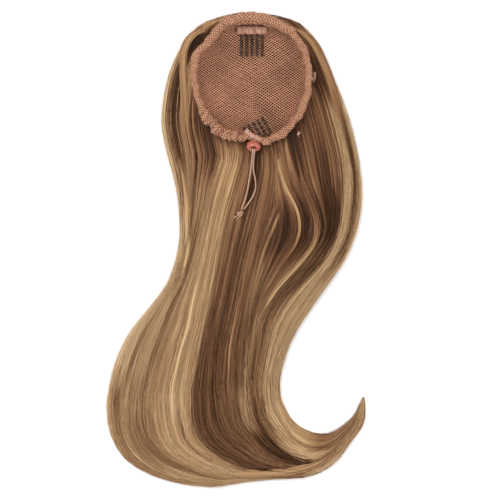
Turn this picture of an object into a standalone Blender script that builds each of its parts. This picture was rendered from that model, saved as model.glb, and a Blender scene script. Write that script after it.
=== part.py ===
"""Drawstring ponytail hairpiece, lying on its hair with the open net cap facing up.

The hair is one long mass of locks that flows from the crown, round and under the cap,
to a hooked tip. The cap is a net dome that nests in the hair, with a ruched casing
round its mouth, two wire combs, a folded comb tape and a drawstring with its stop.

Tables and sizes are in millimetres and MM turns them into metres.
+X is to the side that the tip hooks to, +Y towards the crown, and +Z out of the mouth.
"""

import math
from collections import namedtuple

import bmesh
import bpy
from mathutils import Matrix, Vector
from mathutils.bvhtree import BVHTree

MM = 0.001
GAP = 0.3

# Hair: one row for each section, from the crown to the tip. A section runs straight
# from its left edge to its right edge, with its underside at base and its top at height.
HairSection = namedtuple("HairSection", "left_x left_y right_x right_y base height")
HAIR_SECTIONS = [
    HairSection(4, 238.5, 18, 238.5, 9, 18),
    HairSection(-12, 236.5, 36, 237, 3, 24),
    HairSection(-29, 230, 60, 230.5, 0, 27),
    HairSection(-43, 222, 71, 222, 0, 28),
    HairSection(-55, 206, 84, 206, 0, 28),
    HairSection(-66, 182, 94, 182, 0, 28),
    HairSection(-73, 154, 105, 156, 0, 28),
    HairSection(-75, 126, 115, 127, 0, 28),
    HairSection(-69, 96, 122, 97, 0, 27),
    HairSection(-61, 66, 126, 71, 0, 25),
    HairSection(-57, 37, 126, 45, 0, 24),
    HairSection(-57, 7, 121, 19, 0, 23),
    HairSection(-66, -29, 110, -8, 0, 22),
    HairSection(-86, -57, 92, -35, 0, 21),
    HairSection(-106, -81, 72, -63, 0, 20),
    HairSection(-121, -110, 55, -91, 0, 19),
    HairSection(-129, -143, 45, -123, 0, 18),
    HairSection(-130, -163, 44, -138, 0, 18),
    HairSection(-126, -187, 45, -148, 0, 17),
    HairSection(-110, -212, 48, -156, 0, 16),
    HairSection(-76, -230, 51, -162, 0, 15),
    HairSection(-30, -238.5, 54, -168, 0, 14),
    HairSection(2, -234, 59, -173, 0, 13),
    HairSection(34, -230, 65, -178, 0, 12),
    HairSection(71, -228, 79, -184, 0, 11),
    HairSection(98, -215, 94, -184, 0, 9),
    HairSection(116, -192, 107, -177, 0, 7),
    HairSection(128, -175, 118, -167, 0, 5.5),
    HairSection(130, -161, 123, -157, 0, 4),
    HairSection(129.5, -148, 127.5, -148, 0.5, 2.5),
]

# Lock borders, left to right, as shares of the section's width. The columns hold at the
# cap, the waist, the slope below it, the outer bend, the turn and the hook.
BORDER_SECTIONS = (8, 11, 13.5, 17, 21, 24)
LockBorder = namedtuple("LockBorder", "cap waist slope bend turn hook")
LOCK_BORDERS = [
    LockBorder(0.07, 0.04, 0.07, 0.09, 0.05, 0.02),
    LockBorder(0.13, 0.09, 0.16, 0.22, 0.11, 0.04),
    LockBorder(0.23, 0.16, 0.24, 0.36, 0.19, 0.06),
    LockBorder(0.39, 0.26, 0.33, 0.50, 0.28, 0.09),
    LockBorder(0.45, 0.38, 0.46, 0.64, 0.46, 0.18),
    LockBorder(0.51, 0.49, 0.56, 0.74, 0.62, 0.34),
    LockBorder(0.59, 0.64, 0.64, 0.80, 0.69, 0.42),
    LockBorder(0.69, 0.75, 0.70, 0.84, 0.75, 0.50),
    LockBorder(0.81, 0.84, 0.77, 0.87, 0.80, 0.58),
    LockBorder(0.91, 0.91, 0.84, 0.91, 0.86, 0.68),
    LockBorder(0.96, 0.96, 0.93, 0.955, 0.93, 0.84),
]
SECTION_STEPS = 2
EDGE_SHARE = 0.2
CROWN_POWER = 2.6
CROWN_ROOT = 0.62
GROOVE_DEPTH = 2.0
LOCK_CREST = 0.42
UNDERSIDE_SHARES = (0.96, 0.72, 0.5, 0.28, 0.04)

# Raised locks that lie over the main mass: a route in X and Y, and each one's width.
RaisedLock = namedtuple("RaisedLock", "name width thickness route")
RAISED_LOCKS = [
    RaisedLock("s_lock", 6, 4, [(41, 96), (42, 84), (46, 70), (53, 56), (59, 43), (62, 30),
                                (60, 16), (54, 2), (45, -11), (36, -26), (29, -42)]),
    RaisedLock("waist_lock", 8, 4, [(-57, 86), (-53, 66), (-50, 46), (-49, 26), (-49, 8),
                                    (-51, -9), (-57, -26), (-65, -43), (-74, -59)]),
    RaisedLock("crown_lock_left", 9, 6, [(-26, 222), (-38, 217), (-48, 206), (-55, 192),
                                         (-61, 174), (-64, 154), (-65, 132), (-61, 110)]),
    RaisedLock("crown_lock_right", 10, 6, [(52, 226), (65, 218), (76, 205), (84, 190),
                                           (91, 170), (98, 148), (105, 124), (111, 100)]),
    RaisedLock("light_lock", 7, 4, [(70, 50), (78, 38), (82, 25), (80, 13), (72, 0),
                                    (60, -13), (47, -26), (36, -40), (28, -56), (21, -74)]),
    RaisedLock("side_lock", 8, 4, [(113, 110), (119, 84), (121, 58), (118, 30), (110, 8),
                                   (97, -12), (80, -32), (63, -54)]),
    RaisedLock("hook_lock", 9, 4, [(-14, -223), (20, -224), (52, -222), (80, -214), (99, -201),
                                   (112, -187), (121, -174), (125, -164)]),
]
LOCK_SIDES = 6
LOCK_SINK = 0.25

# Cap mouth: one row for each bearing round it, clockwise from the crown. The casing's
# middle lies at radius, and its section is half_width across and half_height tall.
MouthRow = namedtuple("MouthRow", "bearing radius half_width half_height")
MOUTH_ROWS = [
    MouthRow(0, 61.5, 5.4, 4.2),
    MouthRow(22.5, 61, 5.6, 4.4),
    MouthRow(45, 61.5, 4.5, 4.0),
    MouthRow(67.5, 60, 3.8, 3.8),
    MouthRow(90, 58.3, 3.7, 3.6),
    MouthRow(112.5, 59, 4.0, 3.8),
    MouthRow(135, 61.5, 4.5, 4.0),
    MouthRow(150, 64, 5.2, 4.2),
    MouthRow(165, 64.5, 4.6, 4.0),
    MouthRow(180, 58, 3.4, 3.8),
    MouthRow(190, 58.5, 5.0, 4.2),
    MouthRow(202.5, 60, 5.8, 4.4),
    MouthRow(225, 58, 5.8, 4.4),
    MouthRow(247.5, 55, 3.6, 3.6),
    MouthRow(270, 55.3, 3.8, 3.6),
    MouthRow(292.5, 58, 4.2, 3.8),
    MouthRow(315, 55, 4.6, 4.0),
    MouthRow(337.5, 61, 5.4, 4.2),
]
MOUTH_X = 14
MOUTH_Y = 170.5
CASING_BASE = 29.0
GATHERS = 22
GATHER_DEPTH = 0.12
CASING_STATIONS = GATHERS * 3
CASING_SIDES = 8
TUNNEL_RADIUS = 1.3
TUNNEL_STATIONS = 40

# Net dome: its wall stands under the casing and its floor is pressed flat.
NET_WALL = 1.2
NET_FLOOR = 10.0
NET_TUCK = 1.0
NET_BEARINGS = 36
NET_RINGS = 7
LEAN_SPREAD = 0.8
DOME_POWER = 2.6
NEST_LEANS = (6, 18, 32, 46, 60, 72, 80)
PLUG_TOP = 60.0

# Wire combs: a zigzag of legs whose bends are the tooth tips and the back.
LEG_SPACING = 2.6
COMB_LEGS = 10
LEG_BENDS = (0.72, 0.38)
WIRE_RADIUS = 0.45
COMB_TOP_TIPS = Vector((15.9, 194.8))
COMB_TOP_LENGTHS = (27.0, 27.0)
COMB_BOTTOM_TIPS = Vector((16.6, 128.8))
COMB_BOTTOM_LENGTHS = (20.0, 11.0)
COMB_BOTTOM_TURN = math.radians(209.5)

# Comb tape: a strip folded over the back of the upper comb.
TAPE_WIDTH = 30.0
TAPE_DEPTH = 8.0
TAPE_WALL = 1.0
TAPE_SPREAD = 1.15
TAPE_STATIONS = 9
TAPE_EDGE_Y = 216.5

# Drawstring and its stop.
CORD_RADIUS = 0.75
STRAND_SPACING = 2.0
STOP_CENTRE = Vector((16.0, 102.6, 32.2))
STOP_TILT = math.radians(35)
STOP_RADIUS = 5.4
STOP_FLANK_RADIUS = 4.75
STOP_FACE_RADIUS = 3.9
STOP_EASE = 0.5
STOP_LENGTH = 7.6
STOP_BORE = 2.2
STOP_OVAL = 1.3
POCKET_SIZE = (5.4, 3.0, 2.6)
EXIT_BEARING = 178
EXIT_SPAN = 5
KNOT_MIDDLE = Vector((4.6, 36.6))
KNOT_SIZE = (3.6, 3.2, 2.2)
KNOT_TAILS = [((3.0, 35.4), (-1.4, 32.4)), ((4.0, 35.0), (1.6, 30.6))]

# The free ends beyond the stop: a place in X and Y, and the lift above the hair.
EndRow = namedtuple("EndRow", "x y lift")
END_LEFT = [
    EndRow(14.7, 94.5, 4.2), EndRow(14.4, 91.0, 1.4), EndRow(14.2, 87.0, 0.2),
    EndRow(13.9, 80.0, 0), EndRow(13.0, 70.0, 0), EndRow(11.2, 59.0, 0),
    EndRow(8.2, 48.5, 0), EndRow(5.4, 41.0, 0.6),
]
END_RIGHT = [
    EndRow(17.0, 94.5, 4.2), EndRow(16.7, 91.0, 1.4), EndRow(16.6, 87.0, 0.2),
    EndRow(17.4, 80.0, 0), EndRow(19.2, 71.0, 0), EndRow(19.6, 62.5, 0),
    EndRow(17.0, 54.5, 0), EndRow(12.6, 47.5, 0), EndRow(8.2, 41.4, 0.6),
]

# Finishes: colour, roughness and metallic value.
Finish = namedtuple("Finish", "red green blue roughness metallic")
FINISHES = {
    "hair": Finish(0.36, 0.22, 0.12, 0.45, 0.0),
    "net": Finish(0.45, 0.24, 0.17, 0.8, 0.0),
    "casing": Finish(0.52, 0.29, 0.21, 0.8, 0.0),
    "tape": Finish(0.62, 0.36, 0.28, 0.7, 0.0),
    "wire": Finish(0.03, 0.02, 0.015, 0.4, 0.6),
    "stop": Finish(0.78, 0.24, 0.17, 0.35, 0.0),
    "cord": Finish(0.62, 0.40, 0.30, 0.7, 0.0),
}


# Scene, materials and mesh helpers

def clear_scene():
    """Removes every object that the file opened with."""
    for old in list(bpy.data.objects):
        bpy.data.objects.remove(old, do_unlink=True)


def new_collection(name):
    """A collection linked to the scene."""
    made = bpy.data.collections.new(name)
    bpy.context.scene.collection.children.link(made)
    return made


def material(name):
    """A Principled material with the named finish."""
    made = bpy.data.materials.get(name)
    if made is None:
        finish = FINISHES[name]
        made = bpy.data.materials.new(name)
        made.use_nodes = True
        shader = made.node_tree.nodes["Principled BSDF"]
        shader.inputs["Base Color"].default_value = (finish.red, finish.green, finish.blue, 1)
        shader.inputs["Roughness"].default_value = finish.roughness
        shader.inputs["Metallic"].default_value = finish.metallic
        made.diffuse_color = (finish.red, finish.green, finish.blue, 1)
    return made


def mesh_object(name, mesh, collection, finish=None):
    """An object for a mesh, shaded smooth where its faces meet gently."""
    made = bpy.data.objects.new(name, mesh)
    collection.objects.link(made)
    mesh.shade_smooth()
    mesh.set_sharp_from_angle(angle=math.radians(50))
    if finish:
        mesh.materials.append(material(finish))
    return made


def lofted(name, rings, collection, finish=None, closed_path=False, capped=True):
    """A skin through rings of points in millimetres, all with the same count."""
    shell = bmesh.new()
    rows = [[shell.verts.new(Vector(p) * MM) for p in ring] for ring in rings]
    pairs = list(zip(rows, rows[1:]))
    if closed_path:
        pairs.append((rows[-1], rows[0]))
    for near, far in pairs:
        for i in range(len(near)):
            j = (i + 1) % len(near)
            shell.faces.new((near[i], near[j], far[j], far[i]))
    if capped and not closed_path:
        shell.faces.new(list(reversed(rows[0])))
        shell.faces.new(rows[-1])
    bmesh.ops.recalc_face_normals(shell, faces=shell.faces)
    mesh = bpy.data.meshes.new(name)
    shell.to_mesh(mesh)
    shell.free()
    return mesh_object(name, mesh, collection, finish)


def tube(name, points, radius, collection, finish=None, resolution=2, cyclic=False):
    """A round wire or cord along points in millimetres, as a filled poly curve."""
    curve = bpy.data.curves.new(name, "CURVE")
    curve.dimensions = "3D"
    curve.bevel_depth = radius * MM
    curve.bevel_resolution = resolution
    curve.use_fill_caps = True
    spline = curve.splines.new("POLY")
    spline.points.add(len(points) - 1)
    for place, point in zip(spline.points, points):
        place.co = (*(Vector(point) * MM), 1)
    spline.use_cyclic_u = cyclic
    if finish:
        curve.materials.append(material(finish))
    made = bpy.data.objects.new(name, curve)
    collection.objects.link(made)
    return made


def as_mesh(source):
    """A curve object's evaluated shape as a mesh object with welded caps."""
    bpy.context.view_layer.update()
    evaluated = source.evaluated_get(bpy.context.evaluated_depsgraph_get())
    mesh = bpy.data.meshes.new_from_object(evaluated)
    work = bmesh.new()
    work.from_mesh(mesh)
    bmesh.ops.remove_doubles(work, verts=work.verts, dist=0.00001)
    bmesh.ops.recalc_face_normals(work, faces=work.faces)
    work.to_mesh(mesh)
    work.free()
    name, matrix, home = source.name, source.matrix_world.copy(), source.users_collection[0]
    bpy.data.objects.remove(source, do_unlink=True)
    made = bpy.data.objects.new(name, mesh)
    made.matrix_world = matrix
    home.objects.link(made)
    return made


def hide_cutter(cutter):
    """Marks a cutter or a guide, which is no part of the hairpiece."""
    cutter.hide_render = True
    cutter.display_type = "WIRE"


def boolean(target, operation, tool):
    """Adds an exact Boolean with another object to the target."""
    step = target.modifiers.new(operation.lower(), "BOOLEAN")
    step.operation = operation
    step.object = tool
    hide_cutter(tool)


def surface_tree(target):
    """A search tree of an object's evaluated surface, in millimetres."""
    bpy.context.view_layer.update()
    evaluated = target.evaluated_get(bpy.context.evaluated_depsgraph_get())
    mesh = evaluated.to_mesh()
    points = [target.matrix_world @ v.co / MM for v in mesh.vertices]
    faces = [tuple(p.vertices) for p in mesh.polygons]
    evaluated.to_mesh_clear()
    return BVHTree.FromPolygons(points, faces)


def rest_height(tree, x, y, lift):
    """The height of a round body's middle that lies lift away from the surface below."""
    place, normal, _, _ = tree.ray_cast(Vector((x, y, PLUG_TOP)), Vector((0, 0, -1)))
    return place.z + lift / max(normal.z, 0.5)


# Curves through tables

def catmull(a, b, c, d, t):
    """The point at t between b and c on a smooth curve through four values."""
    return 0.5 * (2 * b + (c - a) * t + (2 * a - 5 * b + 4 * c - d) * t * t
                  + (3 * b - a - 3 * c + d) * t ** 3)


def smooth_route(points, steps):
    """A smooth open curve through points, with steps new points for each stretch."""
    spots = [Vector(p) for p in points]
    spots = [2 * spots[0] - spots[1], *spots, 2 * spots[-1] - spots[-2]]
    route = [catmull(*spots[i:i + 4], s / steps)
             for i in range(len(spots) - 3) for s in range(steps)]
    return [*route, spots[-2]]


def piecewise(x, places, values):
    """A value read between table columns, held beyond the first and the last."""
    if x <= places[0]:
        return values[0]
    for i in range(1, len(places)):
        if x <= places[i]:
            t = (x - places[i - 1]) / (places[i] - places[i - 1])
            t = t * t * (3 - 2 * t)
            return values[i - 1] + (values[i] - values[i - 1]) * t
    return values[-1]


# Hair

def hair_row(position):
    """The hair section at a position along the table, smoothly between its rows."""
    last = len(HAIR_SECTIONS) - 1
    i = min(int(position), last - 1)
    rows = [HAIR_SECTIONS[min(max(k, 0), last)] for k in (i - 1, i, i + 1, i + 2)]
    row = HairSection(*(catmull(*values, position - i) for values in zip(*rows)))
    return row._replace(base=max(row.base, 0.0))


def crown_share(share):
    """How high the section stands at a share of its width, from 0 at an edge to 1."""
    return (1 - abs(2 * share - 1) ** CROWN_POWER) ** CROWN_ROOT


def top_shares(position):
    """Shares across the section: each lock's crest and border, with the groove's depth."""
    borders = [piecewise(position, BORDER_SECTIONS, row) for row in LOCK_BORDERS]
    edges = [0.0, *borders, 1.0]
    shares = [(0.0, 0.0)]
    for left, right in zip(edges, edges[1:]):
        shares += [(left + LOCK_CREST * (right - left), 0.0), (right, 1.0)]
    shares[-1] = (1.0, 0.0)
    return shares


def hair_ring(position):
    """The outline of one hair section: locks over the top, then the flat underside."""
    row = hair_row(position)
    left, right = Vector((row.left_x, row.left_y)), Vector((row.right_x, row.right_y))
    tall = row.height - row.base
    edge = row.base + EDGE_SHARE * tall
    ring = []
    for share, groove in top_shares(position):
        spot = left.lerp(right, share)
        rise = crown_share(share)
        depth = groove * GROOVE_DEPTH * rise * min(1.0, tall / 14)
        ring.append((spot.x, spot.y, edge + (row.height - edge) * rise - depth))
    for share in UNDERSIDE_SHARES:
        spot = left.lerp(right, share)
        ring.append((spot.x, spot.y, row.base))
    return ring


def raised_lock(lock, tree, collection):
    """A tapered, flattened lock that lies half sunk along its route on the hair."""
    route = smooth_route([(x, y, 0) for x, y in lock.route], 2)
    rings = []
    for i, spot in enumerate(route):
        ahead = route[min(i + 1, len(route) - 1)] - route[max(i - 1, 0)]
        side = Vector((-ahead.y, ahead.x, 0)).normalized()
        along = i / (len(route) - 1)
        taper = 0.25 + 0.75 * math.sin(math.pi * min(max(along, 0.06), 0.94)) ** 0.6
        place, _, _, _ = tree.ray_cast(Vector((spot.x, spot.y, PLUG_TOP)), Vector((0, 0, -1)))
        middle = Vector((spot.x, spot.y, place.z - LOCK_SINK * lock.thickness))
        turns = [math.tau * k / LOCK_SIDES for k in range(LOCK_SIDES)]
        rings.append([middle + side * (math.cos(t) * lock.width / 2 * taper)
                      + Vector((0, 0, math.sin(t) * lock.thickness / 2 * taper)) for t in turns])
    return lofted(lock.name, rings, collection)


def hair(collection, cutters):
    """The hair: its main mass of locks, the raised locks fused to it, and the cap's nest."""
    count = (len(HAIR_SECTIONS) - 1) * SECTION_STEPS
    rings = [hair_ring(i / SECTION_STEPS) for i in range(count + 1)]
    made = lofted("hair", rings, collection, "hair")
    tree = surface_tree(made)
    for lock in RAISED_LOCKS:
        boolean(made, "UNION", raised_lock(lock, tree, cutters))
    boolean(made, "DIFFERENCE", nest_cutter(cutters))
    return made


# Cap mouth, casing and net dome

def mouth_row(bearing):
    """The mouth's table row at a bearing in degrees, smoothly between rows."""
    bearing %= 360
    count = len(MOUTH_ROWS)
    i = max(k for k in range(count) if MOUTH_ROWS[k].bearing <= bearing)
    rows = [MOUTH_ROWS[(i + k) % count] for k in (-1, 0, 1, 2)]
    span = (rows[2].bearing - rows[1].bearing) % 360
    t = (bearing - rows[1].bearing) / span
    return MouthRow(bearing, *(catmull(*values, t) for values in list(zip(*rows))[1:]))


def mouth_point(bearing, radius, z):
    """A point at a bearing and radius round the mouth's middle."""
    turn = math.radians(bearing)
    return Vector((MOUTH_X + radius * math.sin(turn), MOUTH_Y + radius * math.cos(turn), z))


def dome_point(bearing, lean, offset):
    """A point on the dome, lean degrees up from its floor, moved outwards by offset."""
    reach = mouth_row(bearing).radius + NET_TUCK
    turn = math.radians(max(lean, 0.01))
    power = 2 / DOME_POWER
    rise = CASING_BASE - GAP - NET_FLOOR
    run = reach * power * math.sin(turn) ** (power - 1) * math.cos(turn)
    climb = rise * math.sin(turn)
    length = math.hypot(run, climb)
    radius = reach * math.sin(turn) ** power + offset * climb / length
    height = NET_FLOOR + rise * (1 - math.cos(turn)) - offset * run / length
    return mouth_point(bearing, radius, height)


def net_dome(collection):
    """The net cap: an open dome surface with its wall on the outside."""
    shell = bmesh.new()
    bearings = [360 * i / NET_BEARINGS for i in range(NET_BEARINGS)]
    leans = [90 * (i / NET_RINGS) ** LEAN_SPREAD for i in range(1, NET_RINGS + 1)]
    floor = shell.verts.new(Vector((MOUTH_X, MOUTH_Y, NET_FLOOR)) * MM)
    rows = [[shell.verts.new(dome_point(b, lean, 0) * MM) for b in bearings] for lean in leans]
    for i in range(NET_BEARINGS):
        j = (i + 1) % NET_BEARINGS
        shell.faces.new((floor, rows[0][j], rows[0][i]))
        for near, far in zip(rows, rows[1:]):
            shell.faces.new((near[i], near[j], far[j], far[i]))
    mesh = bpy.data.meshes.new("cap_net")
    shell.to_mesh(mesh)
    shell.free()
    made = mesh_object("cap_net", mesh, collection, "net")
    wall = made.modifiers.new("wall", "SOLIDIFY")
    wall.thickness = NET_WALL * MM
    wall.offset = -1
    wall.use_even_offset = True
    return made


def nest_cutter(cutters):
    """What the cap and its casing need cleared in the hair, up through the mouth."""
    bearings = [360 * i / NET_BEARINGS for i in range(NET_BEARINGS)]
    rings = [[dome_point(b, lean, NET_WALL + 1.6 * GAP) for b in bearings]
             for lean in NEST_LEANS]
    shelf = CASING_BASE - GAP
    rows = [mouth_row(b) for b in bearings]
    reaches = [row.radius + row.half_width * (1 + GATHER_DEPTH) + 2 * GAP for row in rows]
    rings.append([mouth_point(b, r, shelf - 0.5) for b, r in zip(bearings, reaches)])
    rings.append([mouth_point(b, r, PLUG_TOP) for b, r in zip(bearings, reaches)])
    return lofted("nest_cutter", rings, cutters)


def casing_ring(bearing):
    """The casing's section at a bearing, swollen and pinched by its gathers."""
    row = mouth_row(bearing)
    swell = 1 + GATHER_DEPTH * math.cos(math.radians(bearing) * GATHERS)
    wide, tall = row.half_width * swell, row.half_height * swell
    ring = []
    for i in range(CASING_SIDES):
        turn = math.tau * (i + 0.5) / CASING_SIDES
        out, up = math.cos(turn), math.sin(turn)
        z = CASING_BASE + row.half_height * GATHER_DEPTH + row.half_height + tall * up
        ring.append(mouth_point(bearing, row.radius + wide * out, max(z, CASING_BASE)))
    return ring


def tunnel_point(bearing):
    """The middle of the tunnel that the drawstring runs in."""
    row = mouth_row(bearing)
    return mouth_point(bearing, row.radius, CASING_BASE + row.half_height * (1 + GATHER_DEPTH))


def tunnel_route():
    """The tunnel's middle all round the mouth, from one side of the way out to the other."""
    start = EXIT_BEARING + EXIT_SPAN
    step = (360 - 2 * EXIT_SPAN) / (TUNNEL_STATIONS - 1)
    return [tunnel_point(start + step * i) for i in range(TUNNEL_STATIONS)]


def casing(collection, cutters):
    """The ruched casing round the mouth, with its tunnel and the drawstring's way out."""
    step = 360 / CASING_STATIONS
    rings = [casing_ring(step * i) for i in range(CASING_STATIONS)]
    made = lofted("casing", rings, collection, "casing", closed_path=True)
    bends = [*tunnel_route(), tunnel_point(EXIT_BEARING)]
    boolean(made, "DIFFERENCE",
            as_mesh(tube("tunnel_cutter", bends, TUNNEL_RADIUS, cutters, cyclic=True)))
    bpy.ops.mesh.primitive_uv_sphere_add(segments=12, ring_count=8, radius=1)
    pocket = bpy.context.object
    pocket.name = "pocket_cutter"
    pocket.data.transform(Matrix.Diagonal((*(s * MM for s in POCKET_SIZE), 1)))
    pocket.location = tunnel_point(EXIT_BEARING) * MM
    boolean(made, "DIFFERENCE", pocket)
    way_out = tube("exit_cutter", [exit_point(0, 0), exit_point(0, 1)], STOP_BORE, cutters)
    boolean(made, "DIFFERENCE", as_mesh(way_out))
    return made


# Drawstring

def stop_point(aside, ahead):
    """A point in the stop's bore: aside across it and ahead along its axis."""
    axis = Vector((0, -math.cos(STOP_TILT), math.sin(STOP_TILT)))
    return STOP_CENTRE + axis * ahead + Vector((aside, 0, 0))


def exit_point(aside, share):
    """A point between the tunnel and the stop: aside of the middle, share of the way."""
    middle = tunnel_point(EXIT_BEARING).lerp(stop_point(0, STOP_LENGTH / -2), share)
    return middle + Vector((aside, 0, 0))


def cord_stop(collection):
    """The barrel stop, turned about its bore, made oval across and tilted to the hair."""
    half = STOP_LENGTH / 2
    flank, belly, ease = half * 0.8, half * 0.35, STOP_EASE
    outer = [(STOP_FACE_RADIUS, half), (STOP_FLANK_RADIUS, flank), (STOP_RADIUS, belly),
             (STOP_RADIUS, -belly), (STOP_FLANK_RADIUS, -flank), (STOP_FACE_RADIUS, -half)]
    profile = [*outer, (STOP_BORE + ease, -half), (STOP_BORE, ease - half),
               (STOP_BORE, half - ease), (STOP_BORE + ease, half)]
    mesh = bpy.data.meshes.new("cord_stop")
    points = [(r * MM, 0, z * MM) for r, z in profile]
    mesh.from_pydata(points, [(i, (i + 1) % len(points)) for i in range(len(points))], [])
    made = bpy.data.objects.new("cord_stop", mesh)
    mesh.materials.append(material("stop"))
    collection.objects.link(made)
    turn = made.modifiers.new("turn", "SCREW")
    turn.steps = turn.render_steps = 16
    turn.use_merge_vertices = True
    turn.merge_threshold = 0.00001
    made.location = STOP_CENTRE * MM
    made.rotation_euler = (math.pi / 2 - STOP_TILT, 0, 0)
    made.scale = (STOP_OVAL, 1, 1)
    return made


def drawstring_loop(collection):
    """The held stretch of the drawstring: stop, tunnel round the mouth, and back."""
    half = STOP_LENGTH / 2
    aside = STRAND_SPACING / 2
    left = [stop_point(-aside, half - 0.4), stop_point(-aside, -half),
            exit_point(-aside, 0.35), exit_point(-2.4, 0.04)]
    right = [exit_point(2.4, 0.04), exit_point(aside, 0.35),
             stop_point(aside, -half), stop_point(aside, half - 0.4)]
    return tube("drawstring_loop", [*left, *tunnel_route(), *right], CORD_RADIUS, collection,
                "cord", resolution=1)


def drawstring_ends(collection, tree):
    """The two free ends, from the stop down over the hair to the knot."""
    aside = STRAND_SPACING / 2
    half = STOP_LENGTH / 2
    for name, rows, side in (("left", END_LEFT, -aside), ("right", END_RIGHT, aside)):
        route = [stop_point(side, half), stop_point(side, half + 2)]
        route += [(row.x, row.y, rest_height(tree, row.x, row.y, CORD_RADIUS + GAP) + row.lift)
                  for row in rows]
        tube(f"drawstring_end_{name}", smooth_route(route, 2), CORD_RADIUS, collection, "cord")


def drawstring_knot(collection, cutters, tree):
    """The outer shape of the knot, with the two cut tails fused to it."""
    middle = KNOT_MIDDLE.to_3d()
    middle.z = rest_height(tree, *KNOT_MIDDLE, KNOT_SIZE[2] + GAP)
    bpy.ops.mesh.primitive_uv_sphere_add(segments=12, ring_count=8, radius=1)
    made = bpy.context.object
    made.name = "drawstring_knot"
    made.data.name = "drawstring_knot"
    made.data.transform(Matrix.Diagonal((*(s * MM for s in KNOT_SIZE), 1)))
    made.location = middle * MM
    made.data.materials.append(material("cord"))
    move_to(made, collection)
    for i, (start, end) in enumerate(KNOT_TAILS):
        height = rest_height(tree, *end, CORD_RADIUS + GAP)
        tail = as_mesh(tube(f"tail_{i}", [(*start, middle.z), (*end, height)],
                            CORD_RADIUS * 0.8, cutters))
        boolean(made, "UNION", tail)
    return made


def move_to(made, collection):
    """Puts an object in one collection only."""
    for home in list(made.users_collection):
        home.objects.unlink(made)
    collection.objects.link(made)


# Combs and tape

def comb_route(tips, turn, lengths, lift_at, tree):
    """The comb's wire: legs joined by half-round bends, laid on the net's surface.

    The legs' length runs evenly from the first to the last, as the back follows the casing.
    """
    across = Vector((math.cos(turn), math.sin(turn)))
    along = Vector((-math.sin(turn), math.cos(turn)))
    radius = LEG_SPACING / 2
    first = -LEG_SPACING * (COMB_LEGS - 1) / 2
    flat = []
    for leg in range(COMB_LEGS):
        x = first + leg * LEG_SPACING
        length = lengths[0] + (lengths[1] - lengths[0]) * leg / (COMB_LEGS - 1)
        heights = [length - radius, *(length * share for share in LEG_BENDS), radius]
        flat += [(x, y) for y in (heights if leg % 2 == 0 else reversed(heights))]
        if leg < COMB_LEGS - 1:
            middle = radius if leg % 2 == 0 else length - radius
            outwards = -1 if leg % 2 == 0 else 1
            flat += [(x + radius - radius * math.cos(t),
                      middle + outwards * radius * math.sin(t))
                     for t in (math.radians(a) for a in (45, 90, 135))]
    route = []
    for x, y in flat:
        spot = tips + across * x + along * y
        z = rest_height(tree, spot.x, spot.y, WIRE_RADIUS + GAP + lift_at(y))
        route.append((spot.x, spot.y, z))
    return route


def tape_lift(y):
    """How much the upper comb's wire climbs to get inside the folded tape."""
    inside = TAPE_WALL + GAP + 0.1
    start = TAPE_EDGE_Y - COMB_TOP_TIPS.y
    return inside * min(max((y - start + 5) / 4, 0), 1)


def combs(collection, tree):
    """Both wire combs, with their teeth on the net and pointing to the cap's middle."""
    upper = comb_route(COMB_TOP_TIPS, 0, COMB_TOP_LENGTHS, tape_lift, tree)
    lower = comb_route(COMB_BOTTOM_TIPS, COMB_BOTTOM_TURN, COMB_BOTTOM_LENGTHS,
                       lambda y: 0.0, tree)
    tube("comb_top", upper, WIRE_RADIUS, collection, "wire", resolution=1)
    tube("comb_bottom", lower, WIRE_RADIUS, collection, "wire", resolution=1)


def comb_tape(collection, tree):
    """The tape strip, folded over the upper comb's back and following the net."""
    low = GAP + TAPE_WALL / 2
    space = 2 * WIRE_RADIUS + 2 * GAP
    bend = (space + TAPE_WALL) / 2
    deep = TAPE_DEPTH - bend - TAPE_WALL / 2
    fold = [(0, low), (deep / 2, low), (deep, low)]
    fold += [(deep + bend * math.sin(t), low + bend - bend * math.cos(t))
             for t in (math.radians(a) for a in (45, 90, 135))]
    fold += [(deep, low + 2 * bend), (deep / 2, low + 2 * bend), (0, low + 2 * bend)]
    shell = bmesh.new()
    rows = []
    for i in range(TAPE_STATIONS):
        x = COMB_TOP_TIPS.x + TAPE_WIDTH * (i / (TAPE_STATIONS - 1) - 0.5)
        row = []
        for ahead, lift in fold:
            y = TAPE_EDGE_Y + ahead
            floor = rest_height(tree, x, y, 0)
            row.append(shell.verts.new(Vector((x, y, floor + lift * TAPE_SPREAD)) * MM))
        rows.append(row)
    for near, far in zip(rows, rows[1:]):
        for i in range(len(fold) - 1):
            shell.faces.new((near[i], far[i], far[i + 1], near[i + 1]))
    mesh = bpy.data.meshes.new("comb_tape")
    shell.to_mesh(mesh)
    shell.free()
    made = mesh_object("comb_tape", mesh, collection, "tape")
    wall = made.modifiers.new("wall", "SOLIDIFY")
    wall.thickness = TAPE_WALL * MM
    wall.offset = 0
    return made


def main():
    """Builds the hairpiece and its cutters."""
    clear_scene()
    parts = new_collection("ponytail_hairpiece")
    cutters = new_collection("cutters")
    hair_tree = surface_tree(hair(parts, cutters))
    net_tree = surface_tree(net_dome(parts))
    casing(parts, cutters)
    combs(parts, net_tree)
    comb_tape(parts, net_tree)
    cord_stop(parts)
    drawstring_loop(parts)
    drawstring_ends(parts, hair_tree)
    drawstring_knot(parts, cutters, hair_tree)


main()
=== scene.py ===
"""Looks of the drawstring ponytail hairpiece: strands, net, ruched casing, combs and cord.

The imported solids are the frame. Tables and sizes here are in millimetres, and MM turns
them into metres. +X is to the side that the tip hooks to, +Y towards the crown, +Z up.
"""

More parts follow.
